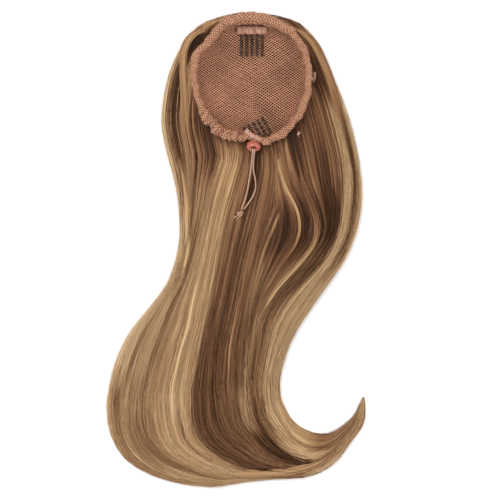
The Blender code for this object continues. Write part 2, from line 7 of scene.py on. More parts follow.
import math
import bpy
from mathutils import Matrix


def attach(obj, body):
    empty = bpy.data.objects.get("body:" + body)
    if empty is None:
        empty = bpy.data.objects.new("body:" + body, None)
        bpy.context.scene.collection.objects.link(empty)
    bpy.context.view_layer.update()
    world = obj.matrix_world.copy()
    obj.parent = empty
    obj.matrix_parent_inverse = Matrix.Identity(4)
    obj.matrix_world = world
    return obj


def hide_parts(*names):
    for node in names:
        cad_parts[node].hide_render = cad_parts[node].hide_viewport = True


bl_info = {
    "name": "Ponytail hairpiece looks",
    "version": (1, 0, 0),
    "blender": (4, 5, 0),
    "location": "3D View > Sidebar > Hairpiece",
    "description": "Dresses the packed ponytail hairpiece with strands, net, casing and cord",
    "category": "Object",
}

from collections import namedtuple

import bpy
import numpy as np
from bpy.props import FloatProperty, FloatVectorProperty, IntProperty, PointerProperty
from bpy.types import Operator, Panel, PropertyGroup

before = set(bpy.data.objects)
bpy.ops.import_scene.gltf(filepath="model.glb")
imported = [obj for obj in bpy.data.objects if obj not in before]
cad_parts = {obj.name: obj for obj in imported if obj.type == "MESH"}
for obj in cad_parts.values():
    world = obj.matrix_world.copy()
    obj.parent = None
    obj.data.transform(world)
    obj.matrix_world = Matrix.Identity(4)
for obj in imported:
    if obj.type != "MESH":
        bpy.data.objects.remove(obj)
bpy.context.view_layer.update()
MM = 0.001
BODY = "root"
TAU = 2 * math.pi

# Hair sections from the crown to the tip: left and right edge, underside and top height.
HAIR_SECTIONS = np.array([
    (4, 238.5, 18, 238.5, 9, 18), (-12, 236.5, 36, 237, 3, 24), (-29, 230, 60, 230.5, 0, 27),
    (-43, 222, 71, 222, 0, 28), (-55, 206, 84, 206, 0, 28), (-66, 182, 94, 182, 0, 28),
    (-73, 154, 105, 156, 0, 28), (-75, 126, 115, 127, 0, 28), (-69, 96, 122, 97, 0, 27),
    (-61, 66, 126, 71, 0, 25), (-57, 37, 126, 45, 0, 24), (-57, 7, 121, 19, 0, 23),
    (-66, -29, 110, -8, 0, 22), (-86, -57, 92, -35, 0, 21), (-106, -81, 72, -63, 0, 20),
    (-121, -110, 55, -91, 0, 19), (-129, -143, 45, -123, 0, 18), (-130, -163, 44, -138, 0, 18),
    (-126, -187, 45, -148, 0, 17), (-110, -212, 48, -156, 0, 16), (-76, -230, 51, -162, 0, 15),
    (-30, -238.5, 54, -168, 0, 14), (2, -234, 59, -173, 0, 13), (34, -230, 65, -178, 0, 12),
    (71, -228, 79, -184, 0, 11), (98, -215, 94, -184, 0, 9), (116, -192, 107, -177, 0, 7),
    (128, -175, 118, -167, 0, 5.5), (130, -161, 123, -157, 0, 4),
    (129.5, -148, 127.5, -148, 0.5, 2.5),
], float)

# The section's shape: the rounded edge's share of the height, the curve over the top, and
# how far the corners of the underside come in. Then the steps that give the slope.
EDGE_SHARE = 0.2
CROWN_POWER = 2.6
CROWN_ROOT = 0.62
CORNER_SHARE = 0.04
CROSS, ALONG = 0.002, 0.02

# Strand flow. A flow line is named by its share of the width at section 8, and each row
# gives the share that the line has further down.
FLOW_SECTIONS = (8, 9, 10, 11, 12, 13, 14, 15, 16, 18, 20, 21, 22, 23, 24, 26, 28)
FLOW_LINES = {
    0.00: (0, 0, 0, 0, 0, 0, 0, 0, 0, 0, 0, 0, 0, 0, 0, 0, 0),
    0.25: (.25, .17, .12, .08, .08, .12, .18, .21, .21, .19, .16, .12, .07, .05, .04, .04, .05),
    0.33: (.33, .25, .19, .16, .17, .25, .34, .38, .39, .39, .32, .26, .16, .09, .07, .07, .10),
    0.40: (.40, .33, .27, .24, .26, .34, .42, .48, .50, .49, .42, .35, .25, .15, .12, .12, .20),
    0.50: (.50, .46, .41, .38, .39, .47, .55, .61, .65, .66, .61, .53, .41, .28, .20, .20, .30),
    0.56: (.56, .53, .50, .48, .50, .58, .67, .74, .79, .79, .74, .67, .58, .45, .34, .32, .42),
    0.585: (.585, .58, .64, .67, .62, .63, .70, .77, .81, .815, .775, .71, .63, .50, .37, .37, .47),
    0.66: (.66, .67, .73, .78, .72, .69, .73, .81, .84, .85, .81, .76, .69, .56, .42, .42, .52),
    0.92: (.92, .91, .90, .90, .88, .84, .84, .88, .90, .90, .87, .84, .78, .68, .52, .50, .60),
    0.97: (.97, .97, .96, .96, .95, .93, .93, .95, .955, .955, .94, .92, .88, .80, .70, .68, .75),
    1.00: (1, 1, 1, 1, 1, 1, 1, 1, 1, 1, 1, 1, 1, 1, 1, 1, 1),
}
FLOW_KEYS = np.array(list(FLOW_LINES))
FLOW_TABLE = np.array(list(FLOW_LINES.values())).T

# Highlights and lowlights: the hair's own blond and brown streaks, with painted shade and painted
# light laid in among them. Bands named as shadows, and the dark gaps and hollows beside the cap,
# the casing and the stop and between locks, are painted shade, some with dark hair in them too;
# the palest edges and rims are painted light, paler than the blond there, against the shade where
# the hair curves down. Each lies between two sections and two flow lines, which may move from its
# first section to its last. Tone runs from 0, very dark, to 1, pale blond.
Band = namedtuple("Band", "name first last left right left_end right_end tone")
PLAIN_TONE = 0.36
BANDS = [
    Band("light lock at the crown's left", 0, 3.4, 0, .15, 0, .14, .72),
    # Painted shadow in the gap between the crown's left and the casing.
    Band("dark weft at the crown's left", .7, 2.3, .10, .24, .14, .27, .02),
    Band("olive edge of the crown", .2, 2.0, .55, .93, .60, .92, .20),
    # Blond edge painted paler still as light, against the shade where the hair curves down.
    Band("pale left edge", 3, 10.4, 0, .02, 0, .03, 1.2),
    Band("brown line by the left edge", 5.4, 9.6, .03, .046, .034, .056, .22),
    # Painted shadow between the casing and the hair's loop at the crown's left.
    Band("dark gap behind the casing", 3.1, 4.4, .04, .17, .06, .15, -.45),
    Band("dark line beside the light lock", 4.4, 8.2, .045, .10, .06, .085, -.12),
    Band("light lock beside the cap", 4.7, 6.7, .10, .158, .10, .15, .92),
    Band("tan lock beside the cap", 6.5, 9, .095, .145, .088, .14, .58),
    Band("light lock below the cap's left", 8.7, 11, .062, .14, .062, .14, .76),
    Band("shadow beside the cap", 6.4, 8.9, .143, .162, .142, .158, -.05),
    Band("brown lock under the cap", 7, 9.3, .162, .20, .16, .215, .40),
    Band("second shadow under the cap", 6.6, 8.9, .18, .265, .222, .265, .03),
    Band("tan thread under the cap", 8.5, 10, .20, .224, .20, .224, .80),
    Band("tan waist", 9, 10.8, .16, .27, .155, .27, .70),
    Band("red brown waist", 10.6, 11.5, .142, .268, .15, .268, .52),
    Band("pale left side", 10.2, 15.8, 0, .108, 0, .098, 1.12),
    # Painted light on the rim, against the shade where the hair curves down.
    Band("pale left rim", 10.6, 15.4, 0, .032, 0, .03, 1.35),
    Band("tan line in the outer slope", 12.4, 15, .10, .135, .11, .14, .68),
    Band("tan line in the outer bend", 14.8, 18.4, .105, .142, .038, .08, .50),
    Band("blond outer slope", 11.4, 16, .135, .235, .135, .245, .96),
    Band("middle blond under the cap", 7.7, 10, .278, .39, .268, .405, .64),
    Band("middle blond", 9.7, 16, .268, .405, .282, .402, .84),
    Band("brown line in the slope", 11.8, 16.4, .238, .268, .243, .285, .58),
    Band("blond outer bend", 15.6, 20, .10, .155, .078, .12, 1.0),
    Band("tan outer bend", 15.8, 17.7, .152, .30, .14, .29, .76),
    Band("tan lower bend", 17.4, 20, .14, .29, .135, .28, .64),
    Band("tan edge at the bend", 15.6, 21, 0, .04, 0, .09, .72),
    # Painted light on the rim, against the shade where the hair curves down.
    Band("pale rim at the bend", 15, 18.2, 0, .022, 0, .018, 1.2),
    Band("blond low bend", 19.5, 21, .10, .22, .10, .26, 1.0),
    Band("blond lower rim", 20.7, 22.4, 0, .25, 0, .27, .94),
    Band("dark line low in the bend", 18.6, 20.1, .22, .25, .225, .245, .42),
    Band("blond inner bend", 15.6, 21.8, .298, .392, .265, .378, .92),
    Band("dark thread in the blond", 17.6, 20.6, .334, .350, .332, .348, .34),
    Band("tan fringe of the blond", 15, 20, .392, .408, .39, .405, .46),
    Band("tan beside the blond", 8.4, 12.6, .405, .44, .407, .443, .42),
    Band("brown middle", 7.6, 14, .443, .55, .443, .55, .27),
    Band("dark beside the blond", 13.4, 22.6, .408, .49, .405, .47, .18),
    Band("brown middle of the bend", 14, 22, .49, .548, .47, .545, .26),
    Band("thin light line", 11.7, 13.6, .548, .564, .548, .564, .64),
    Band("shadow by the curl", 9.7, 11.7, .562, .582, .560, .598, -.10),
    Band("curl's light edge", 7.6, 9.6, .566, .605, .575, .60, .44),
    Band("shadow line under the stop", 7.2, 9.7, .458, .486, .456, .484, -.32),
    # Painted shade in the curl's hollow, over hair that is dark there too.
    Band("hollow of the curl", 9.6, 11.6, .596, .645, .60, .645, -.16),
    # Partly painted shadow under the casing, partly dark locks.
    Band("dark beside the curl", 7, 8.8, .645, .735, .65, .70, -.05),
    Band("brown right side", 6.4, 9.4, .735, .885, .69, .90, .28),
    Band("shadow in the right side", 7.6, 10, .79, .83, .77, .83, .06),
    # Painted shade where the locks curve in, over dark brown hair.
    Band("dark right side", 9.6, 11.7, .68, .90, .68, .91, -.04),
    Band("brown slope on the right", 11.7, 13.9, .70, .915, .68, .885, .20),
    Band("tan lock after the hollow", 10.5, 11.7, .645, .68, .652, .69, .34),
    Band("light line's start", 11.6, 13.7, .652, .706, .635, .685, .74),
    Band("light line's turn", 13.5, 15.3, .61, .675, .572, .618, .66),
    Band("light line's run", 15.1, 17, .565, .61, .546, .574, .62),
    Band("light line's end", 16.8, 20, .545, .568, .548, .566, .92),
    Band("tan beside the light line", 16.6, 19.2, .582, .645, .58, .625, .50),
    Band("brown under the right bend", 13.6, 18, .69, .90, .61, .915, .36),
    Band("tan under the right bend", 14, 17.8, .80, .905, .80, .918, .52),
    Band("tan edge of the right slope", 13.2, 17.4, .855, .92, .85, .925, .76),
    Band("dark line in the right bend", 17.6, 20.2, .638, .70, .60, .66, .06),
    Band("brown low in the right bend", 17.8, 21.4, .70, .918, .655, .915, .30),
    # Painted shade in the gaps between the low locks, with dark strands in them.
    Band("dark low middle", 20.4, 24.4, .545, .66, .515, .59, -.04),
    Band("brown in the low middle", 20.8, 23, .49, .54, .48, .53, .36),
    Band("tan by the hook", 21.2, 23.6, .76, .92, .66, .90, .62),
    Band("pale right side", 5.8, 13.2, .912, .95, .915, .962, 1.0),
    Band("tan right side", 6.4, 12.8, .946, .962, .956, .975, .62),
    Band("dark line by the right edge", 7.4, 12.8, .956, .973, .972, .988, .12),
    Band("shadow at the crown's right", 4.4, 6.2, .86, .958, .86, .94, .06),
    # Blond edge painted paler still as light, against the shade where the hair curves down.
    Band("pale right edge", 3, 13.2, .978, 1.02, .985, 1.02, 1.2),
    Band("pale right slope", 12.4, 17, .90, 1.02, .915, 1.02, 1.0),
    Band("pale right side at the bend", 16.6, 22, .918, 1.02, .88, 1.02, .94),
    Band("pale hook", 21.8, 24, .86, 1.02, .66, 1.02, .86),
    Band("light underside lock", 22.2, 23.6, .0, .19, .0, .14, 1.1),
    Band("dark underside edge", 23.6, 24.9, 0, .12, 0, .10, .12),
    # Painted shade in the gaps between the underside's locks, with dark strands in them.
    Band("dark gaps in the underside", 22.5, 24, .35, .49, .24, .47, .04),
    Band("blond underside lock", 23.9, 25.6, .24, .49, .10, .60, 1.15),
    Band("blond upper hook", 23.2, 24.9, .66, .93, .60, .93, 1.1),
    Band("tan hook", 24.8, 27.4, .54, 1.0, .50, 1.0, .56),
    Band("light hook", 25.2, 28, .0, .50, .0, .42, .82),
    Band("tan tip", 27, 30, 0, 1.02, 0, 1.02, .78),
]
BAND_SOFTNESS = 0.02
BAND_FADE = 1.4

# Dark creases that part the locks, as flow lines.
CREASES = (.055, .125, .157, .22, .255, .405, .465, .556, .577, .61, .66, .72, .80, .905, .965)
CREASE_DEPTH = 1.5
CREASE_WIDTH = 0.007

# Locks that lie over the main mass: a route in X and Y, with its width, height, its tone at
# the start and at the end, and the share of its length where one turns into the other.
Lock = namedtuple("Lock", "name width height tone tone_end turn route")
LOCKS = [
    Lock("s_lock", 2.7, 2.2, .74, .26, .56,
         [(41, 102), (42.5, 86), (46, 71), (53, 56), (60, 43), (63.5, 30), (63, 16), (58, 3),
          (48, -9), (38, -22), (30, -38)]),
    Lock("curl_lock", 2.6, 1.8, .56, .10, .35,
         [(49, 116), (51, 98), (55, 82), (61, 68), (68, 55), (73, 42), (75, 30), (73, 17),
          (66, 4), (57, -9)]),
    Lock("thin_light_line", 2.0, 1.6, .62, .62, .5,
         [(47, 52), (43.5, 37), (33, 13), (25.6, -7), (20.5, -26), (15.4, -49), (11, -75),
          (8, -102)]),
    Lock("second_thin_line", 1.5, 1.2, .58, .48, .5,
         [(42, 54), (37, 38), (29, 18), (23, -2), (18.5, -20), (15, -40)]),
    Lock("waist_lock", 4.5, 2.4, .74, .95, .4,
         [(-62, 104), (-57, 84), (-53, 66), (-50, 46), (-49, 26), (-49, 8), (-51, -9),
          (-57, -26), (-65, -43), (-74, -59)]),
    Lock("crown_lock_left", 6, 3.4, .62, .60, .5,
         [(-24, 226), (-36, 221), (-45, 214), (-51, 205), (-53, 192), (-52.5, 178),
          (-51.5, 155), (-51.5, 132), (-50, 110)]),
    Lock("crown_fold", 4, 3.6, .78, .50, .6,
         [(-11, 230), (-22, 229), (-30, 225), (-34, 219), (-38, 213)]),
    Lock("crown_lock_right", 6, 3.6, .46, .38, .5,
         [(50, 227), (66, 219), (78, 206), (87, 190), (94.5, 170), (101, 148), (107, 124),
          (112, 100)]),
    Lock("light_lock", 3.6, 2.4, .16, .84, .34,
         [(60, 84), (66, 66), (73, 51), (79, 38), (82, 25), (81, 12), (74, -1), (63, -13),
          (51, -26), (39, -40), (30, -56), (23, -74), (17, -100)]),
    Lock("hook_lock", 7, 3, .74, .50, .5,
         [(-14, -223), (20, -224), (52, -222), (80, -214), (99, -201), (112, -187),
          (121, -174), (126, -163)]),
]
LOCK_STATIONS = 56
LOCK_SEED, LOCK_SEED_STEP = 60, 7

# Hair layers: how far each stays outside the casing's middle where it comes out from under
# the cap, how far wisps stray from their line, and the least height over the floor.
WISP_CLEARANCE = 2.5
STRAND_CLEARANCE = 3.0
CROWN_CLEARANCE = 1.0
WISP_WANDER = 0.8
LINE_STEP = 0.004
FLOOR_GAP = 0.05

# The core: dense sections beside the cap, then wider ones that end before the tip. It is sunk
# under the strands, and under the net where the cap's nest is. A painted shade is added to its
# tone under the strands, and in the nest its tone is set near black as painted shade under the net.
CORE_DENSE = (0.15, 10)
CORE_REST = (10.1, 27.8)
CORE_STATIONS = 190
CORE_TOPS = 96
CORE_SINK = 1.3
CORE_LEAST = 0.3
NEST_GAP = 2.6
# Painted shade: the core's tone is lowered under the strands and set near black in the nest.
CORE_SHADE = -0.22
NEST_SHADE = -0.5

# The crown's count of wisps, the last section that a strand reaches at all and on the right,
# and the last section that has hair under the cap.
CROWN_WISPS = 34
LONGEST = 29.3
LONGEST_RIGHT = 28.3
LAST_UNDER_CAP = 12

# Wisps: the arch over their width, which is full from a width on, and how many strands wide
# the streaks on them are.
WISP_ARCH = 0.45
FULL_WIDTH = 4
STREAKS_ACROSS = 5.5

# Sections by which lines are spread evenly: the cap, waist, slope, bend and hook. Then the
# grid of places on which the nearest place to a route is looked for.
SPREAD_SECTIONS = (8, 11, 14, 17, 21)
GRID_SECTIONS = np.linspace(0.5, 28.9, 570)
GRID_SHARES = np.linspace(0, 1, 161)

# Cap mouth, clockwise from the crown: the bearing, the casing's middle, its half width, its
# half height and how much it is ruffled there.
MOUTH_ROWS = np.array([
    (0, 61.5, 5.4, 4.2, .25), (22.5, 61, 5.6, 4.4, .35), (45, 61.5, 4.5, 4.0, .4),
    (67.5, 60, 3.8, 3.8, .3), (90, 58.3, 3.7, 3.6, .15), (112.5, 59, 4.0, 3.8, .25),
    (135, 61, 3.9, 3.9, .5), (150, 63, 4.2, 4.0, .7), (165, 63.8, 4.0, 3.9, .8),
    (180, 58, 3.4, 3.8, .8), (190, 58.5, 5.0, 4.2, 1), (202.5, 60, 5.8, 4.4, 1),
    (225, 58, 5.8, 4.4, .9), (247.5, 55, 3.6, 3.6, .4), (270, 55.3, 3.8, 3.6, .15),
    (292.5, 58, 4.2, 3.8, .2), (315, 55, 4.6, 4.0, .4), (337.5, 61, 5.4, 4.2, .35),
], float)
MOUTH_X, MOUTH_Y = 14.0, 170.5
CASING_BASE = 29.0
CASING_SWELL = 1.12

# The net's lowest point, its rise to the rim, and how far the rim goes out and up into the
# casing. Then its threads' angle from the middle line, and the power of its dome.
NET_FLOOR = 10.0
NET_RISE = 18.7
NET_TUCK = 1.0
NET_SEWN_RISE = 4.8
NET_ANGLE = 33
NET_STATIONS = 190
DOME_POWER = 2.6

# The casing's gathers, its crumples as turns round the mouth with their size, the pitch of
# its weave, and its stations along and around.
CASING_FOLDS = 88
CRUMPLES = ((13, .05), (23, .05), (37, .045), (59, .04), (83, .03), (131, .02))
CASING_PITCH = 3.1
CASING_STATIONS = 1080
CASING_AROUND = 36
CASING_FULLNESS = 0.94

# Frayed thread ends beside the casing.
TUFT_PLACES = [(78.4, 175.5, 27), (78, 171, 27), (62.5, 116.5, 29.5)]
TUFT_FIBRES = 5
TUFT_STATIONS = 16
TUFT_RADIUS = 0.22

# Combs: the middle of the tips, the turn in degrees, the lengths of the first and last leg,
# and the length along the legs where the tape begins. Two legs make a tooth.
NO_TAPE = 99
COMBS = {"comb_top": ((15.9, 194.8), 0, 27, 27, 21.7),
         "comb_bottom": ((16.6, 128.8), 209.5, 20, 11, NO_TAPE)}
COMB_LEGS = 10
COMB_STATIONS = 1700
BEND_LENGTH = 1.3
TOOTH_SPACING = 5.2
TOOTH_WIDTH = 1.7
WIRE_RADIUS = 0.4
WIRE_LIFT = 0.75
WOUND_RADIUS = 0.17
WOUND_GAP = 0.08
WOUND_PITCH = 1.3
TAPE_RISE = 1.4

# Folded strips: the tape over the upper comb's back, the lower tape and the hem.
TAPE_MIDDLE = (15.9, 220.5)
TAPE_WIDTH = 30.0
TAPE_DEPTH = 8.0
TAPE_HEIGHT = 3.8
TAPE_LIFT = 2.2
TAPE_PITCH = 0.9
LOWER_TAPE = [(9.5, 119.5, 36.6), (14, 115.4, 37.6), (20, 112, 38.1), (25.5, 109.6, 37.9)]
HEM = [(-9, 222.6, 32.6), (-2, 225.4, 33.2), (7, 226.8, 33.4), (16, 227.2, 33.5),
       (26, 226.2, 33.3), (36, 222.8, 32.8)]

# Stop and drawstring. Each route runs from the stop's face down over the hair.
STOP_CENTRE = np.array((17.5, 103.8, 32.2))
STOP_TILT = math.radians(46)
STOP_OVAL = 1.3
STOP_PROFILE = [(2.2, -3.2), (2.7, -3.7), (3.9, -3.8), (4.6, -3.4), (5.15, -2.4), (5.4, -1.2),
                (5.45, 0), (5.4, 1.2), (5.15, 2.4), (4.6, 3.4), (3.9, 3.8), (2.7, 3.7), (2.2, 3.2)]
DRAWSTRING = {
    "left": [(16.6, 100.7, 34.4), (16.6, 98.6, 35.2), (16.4, 96, 34.2), (16.1, 93, 31.2),
             (15.8, 89.8, 28.6), (15.3, 85.6, 27.3), (14.5, 79, 27.0), (13, 70, 26.4),
             (11.2, 59, 25.6), (8.2, 48.5, 25.0), (5.4, 41, 24.9)],
    "right": [(18.4, 100.7, 34.4), (18.4, 98.6, 35.2), (18.2, 96, 34.2), (17.9, 93, 31.2),
              (17.6, 89.8, 28.6), (17.3, 85.6, 27.3), (17.6, 79, 27.1), (19.2, 71, 26.8),
              (19.6, 62.5, 26.2), (17, 54.5, 25.6), (12.6, 47.5, 25.0), (8.2, 41.4, 24.9)],
}
CORD_STATIONS = 150
CORD_FULLNESS = 1.05
CORD_PLIES = 3
CORD_TWIST = 1.9
KNOT_MIDDLE = np.array((4.0, 36.6, 25.3))
KNOT_SIZE = (0.95, 0.82, 1.2)
KNOT_STATIONS = 160
KNOT_CORD_RADIUS = 0.78
KNOT_TAILS = [((2.6, 35.4, 25.0), (0.2, 33.8, 24.4), (-2.6, 32.6, 24.0)),
              ((3.8, 34.8, 25.0), (2.6, 32.8, 24.3), (0.6, 30.8, 24.0))]
TAIL_FIBRES = 9
TAIL_STATIONS = 40

# Hair colours by tone, from the darkest to the palest, and the streaks along the strands: how
# close they are across and along, their detail and their strength.
HAIR_COLOURS = [
    (0.0, (0.022, 0.008, 0.003)), (0.143, (0.052, 0.020, 0.009)),
    (0.25, (0.105, 0.044, 0.021)), (0.379, (0.185, 0.082, 0.038)),
    (0.52, (0.285, 0.150, 0.074)), (0.736, (0.420, 0.255, 0.122)),
    (0.88, (0.530, 0.350, 0.185)), (1.0, (0.640, 0.460, 0.270)),
]
DARKEST_TONE = -0.2
TONE_RANGE = 1.4
STREAKS = (((2.4, 0.02, 1), 2, 0.55), ((0.9, 0.01, 1), 1, 0.85), ((0.35, 0.006, 1), 1, 0.5))

# Stage, in metres: the middle of the view, its width at the level of the hair's top, and each
# light's place, size and power.
VIEW_MIDDLE = (14 * MM, 0.5 * MM)
VIEW_WIDTH = 0.5
VIEW_LEVEL = 20 * MM
SENSOR_WIDTH = 36
FLOOR_REACH = 3.0
FLOOR_DROP = 0.0001
FAR_END = 50
ROOM_LIGHT = 0.75
LIGHTS = {"key_light": ((-0.9, 0.9, 1.8), 1.4, 30), "fill_light": ((1.1, -0.6, 1.7), 1.6, 16)}


# Curves and directions

def catmull_rows(table, places):
    """Rows of a table read at any places between them, on a Catmull-Rom curve."""
    last = len(table) - 1
    places = np.clip(places, 0, last)
    start = np.minimum(places.astype(int), last - 1)
    t = (places - start)[..., None]
    a, b, c, d = (table[np.clip(start + k, 0, last)] for k in (-1, 0, 1, 2))
    curve = 2 * b + (c - a) * t + (2 * a - 5 * b + 4 * c - d) * t ** 2
    return 0.5 * (curve + (3 * b - a - 3 * c + d) * t ** 3)


def length_along(path):
    """The length from the start of a path to each of its points."""
    step = np.linalg.norm(np.diff(path, axis=-2), axis=-1)
    return np.concatenate([np.zeros(step.shape[:-1] + (1,)), np.cumsum(step, -1)], -1)


def smooth_route(points, count):
    """A Catmull-Rom curve through points, read at evenly spaced lengths along it."""
    table = np.asarray(points, float)
    fine = catmull_rows(table, np.linspace(0, len(table) - 1, 40 * len(table)))
    length = length_along(fine)
    even = np.linspace(0, length[-1], count)
    return np.stack([np.interp(even, length, column) for column in fine.T], -1)


def smooth_step(value):
    """0 below 0, 1 above 1, and a smooth rise between them."""
    value = np.clip(value, 0, 1)
    return value * value * (3 - 2 * value)


def signed_power(value, power):
    """The size of a value to a power, with the value's sign."""
    return np.sign(value) * np.abs(value) ** power


def unit(vectors):
    """Vectors scaled to a length of 1."""
    return vectors / np.maximum(np.linalg.norm(vectors, axis=-1, keepdims=True), 1e-9)


def turned(x, y, angle):
    """A level place turned about the origin by an angle in degrees."""
    cosine, sine = math.cos(math.radians(angle)), math.sin(math.radians(angle))
    return x * cosine - y * sine, x * sine + y * cosine


def random_wave(along, least, most, count, random):
    """Sine waves for a count of pieces, each of a random number of turns and start."""
    turns = random.uniform(least, most, (count, 1))
    return np.sin(along * TAU * turns + random.uniform(0, TAU, (count, 1)))


# Hair surface

def hair_width(section):
    """The width of the hair at a section, straight from its left edge to its right."""
    row = catmull_rows(HAIR_SECTIONS, section)
    return np.hypot(row[..., 2] - row[..., 0], row[..., 3] - row[..., 1])


def hair_surface(section, share):
    """A point on the hair at a section and a share of its width.

    Over the top the height is the edge's height plus a rise of (1 - |2 share - 1|^2.6)^0.62.
    Below 0 and above 1 the share goes on round the edge, down a quarter turn, and inwards
    along the flat underside.
    """
    row = catmull_rows(HAIR_SECTIONS, section)
    base = np.maximum(row[..., 4], 0)
    tall = row[..., 5] - base
    wall = np.maximum(EDGE_SHARE * tall, 0.4)
    width = np.maximum(hair_width(section), 0.5)
    top = np.clip(share, 0, 1)
    rise = (1 - np.abs(2 * top - 1) ** CROWN_POWER) ** CROWN_ROOT
    past = np.abs(share - top) * width
    turn = np.clip(past / wall, 0, 1) * math.pi / 2
    inwards = (1 - np.cos(turn)) * CORNER_SHARE * width + np.maximum(past - wall, 0)
    across = top + np.where(share < 0.5, 1, -1) * inwards / width
    height = base + wall + (tall - wall) * rise
    height = np.where(past > 0, base + wall * (1 - np.sin(turn)), height)
    level = row[..., :2] + (row[..., 2:4] - row[..., :2]) * across[..., None]
    return np.concatenate([level, height[..., None]], -1)


def hair_normal(section, share):
    """The hair surface's outward direction, from small steps along and across it."""
    ahead = hair_surface(section + ALONG, share) - hair_surface(section - ALONG, share)
    aside = hair_surface(section, share + CROSS) - hair_surface(section, share - CROSS)
    normal = np.cross(ahead, aside)
    length = np.linalg.norm(normal, axis=-1, keepdims=True)
    return np.where(length > 1e-9, normal / np.maximum(length, 1e-9), (0, 0, 1))


def flow_columns(section):
    """The share of every flow line at a section."""
    columns = np.interp(section, FLOW_SECTIONS, np.arange(len(FLOW_SECTIONS)))
    return catmull_rows(FLOW_TABLE, columns)


def between(value, places, results):
    """Reads results between places, both with a row of their own for each value."""
    cell = np.clip((places <= value[..., None]).sum(-1) - 1, 0, places.shape[-1] - 2)[..., None]
    low, high = (np.take_along_axis(places, cell + k, -1)[..., 0] for k in (0, 1))
    near, far = (np.take_along_axis(results, cell + k, -1)[..., 0] for k in (0, 1))
    return near + (far - near) * (value - low) / np.maximum(high - low, 1e-6)


def flow_share(line, section):
    """The share of the width that a flow line has at a section."""
    line, section = np.broadcast_arrays(line, section)
    columns = flow_columns(section)
    return between(line, np.broadcast_to(FLOW_KEYS, columns.shape), columns)


def flow_line(share, section):
    """The flow line that passes a share of the width at a section."""
    share, section = np.broadcast_arrays(share, section)
    columns = flow_columns(section)
    return between(share, columns, np.broadcast_to(FLOW_KEYS, columns.shape))


def crease_depth(line):
    """How deep the creases between locks are at a flow line."""
    near = np.abs(line[..., None] - np.array(CREASES)).min(-1)
    return CREASE_DEPTH * np.exp(-(near / CREASE_WIDTH) ** 2)


def tone_at(line, section):
    """The tone of the hair on a flow line at a section: each band laid over the last."""
    tone = np.full(np.broadcast(line, section).shape, PLAIN_TONE)
    for band in BANDS:
        along = np.clip((section - band.first) / (band.last - band.first), 0, 1)
        left = band.left + (band.left_end - band.left) * along
        right = band.right + (band.right_end - band.right) * along
        inside = (smooth_step((line - left) / BAND_SOFTNESS + 0.5)
                  * smooth_step((right - line) / BAND_SOFTNESS + 0.5)
                  * smooth_step((section - band.first) / BAND_FADE + 0.5)
                  * smooth_step((band.last - section) / BAND_FADE + 0.5))
        tone += (band.tone - tone) * inside
    return tone


# Cap surface

def mouth_rows(bearing):
    """Radius, half width, half height and ruffle round the mouth, smoothly at any bearing."""
    count = len(MOUTH_ROWS)
    lap = np.array((360, 0, 0, 0, 0))
    ring = np.vstack([MOUTH_ROWS[-2:] - lap, MOUTH_ROWS, MOUTH_ROWS[:3] + lap])
    places = np.interp(bearing % 360, ring[:, 0], np.arange(count + 5))
    return catmull_rows(ring[:, 1:], places)


def mouth_polar(x, y):
    """Bearing in degrees and distance from the mouth's middle."""
    return (np.degrees(np.arctan2(x - MOUTH_X, y - MOUTH_Y)) % 360,
            np.hypot(x - MOUTH_X, y - MOUTH_Y))


def mouth_point(bearing, radius, height):
    """A point at a bearing in degrees and a radius round the mouth's middle."""
    turn = np.radians(bearing)
    x = MOUTH_X + radius * np.sin(turn)
    y = MOUTH_Y + radius * np.cos(turn)
    return np.stack(np.broadcast_arrays(x, y, height), -1)


def dome_height(bearing, radius):
    """The net's height: its lean has a sine of (radius / reach)^1.3, and rises by 1 - cos."""
    reach = mouth_rows(bearing)[..., 0] + NET_TUCK
    sine = np.clip(radius / reach, 0, 1) ** (DOME_POWER / 2)
    return NET_FLOOR + NET_RISE * (1 - np.sqrt(1 - sine ** 2))


# Meshes

def add_object(name, rings, material, slot, *nodes, closed_path=False, **attributes):
    """A piece with a skin over rings, which rides on the body and may replace nodes."""
    made = bpy.data.objects.new(name, ring_mesh(name, rings, closed_path, attributes))
    bpy.context.scene.collection.objects.link(made)
    made.data.materials.append(material)
    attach(made, BODY)
    if nodes:
        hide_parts(*nodes)
    return made


def ring_mesh(name, rings, closed_path, attributes):
    """A skin over rings of points in millimetres, an array of (pieces, rings, points, 3).

    Every ring is closed. Each piece has a flat cap on both ends, unless its path is closed.
    Faces are turned to point outwards, by the sign of the enclosed volume.
    """
    pieces, stations, around = rings.shape[:3]
    points = rings.reshape(-1, 3) * MM
    first = np.arange(pieces)[:, None, None] * stations * around
    along = np.arange(stations if closed_path else stations - 1)[None, :, None]
    turn = np.arange(around)[None, None, :]
    ahead, aside = (along + 1) % stations, (turn + 1) % around
    quads = np.stack([first + along * around + turn, first + ahead * around + turn,
                      first + ahead * around + aside, first + along * around + aside], -1)
    quads = quads.reshape(-1, 4)
    a, b, c, d = (points[quads[:, k]] for k in range(4))
    volume = (np.cross(c - a, d - b) * (a + b + c + d)).sum()
    caps = np.zeros((0, around), int)
    if not closed_path:
        start = first[:, 0] + np.arange(around)
        caps = np.vstack([start, start[:, ::-1] + (stations - 1) * around])
    if volume < 0:
        quads, caps = quads[:, ::-1], caps[:, ::-1]
    return face_mesh(name, points, quads, caps, attributes)


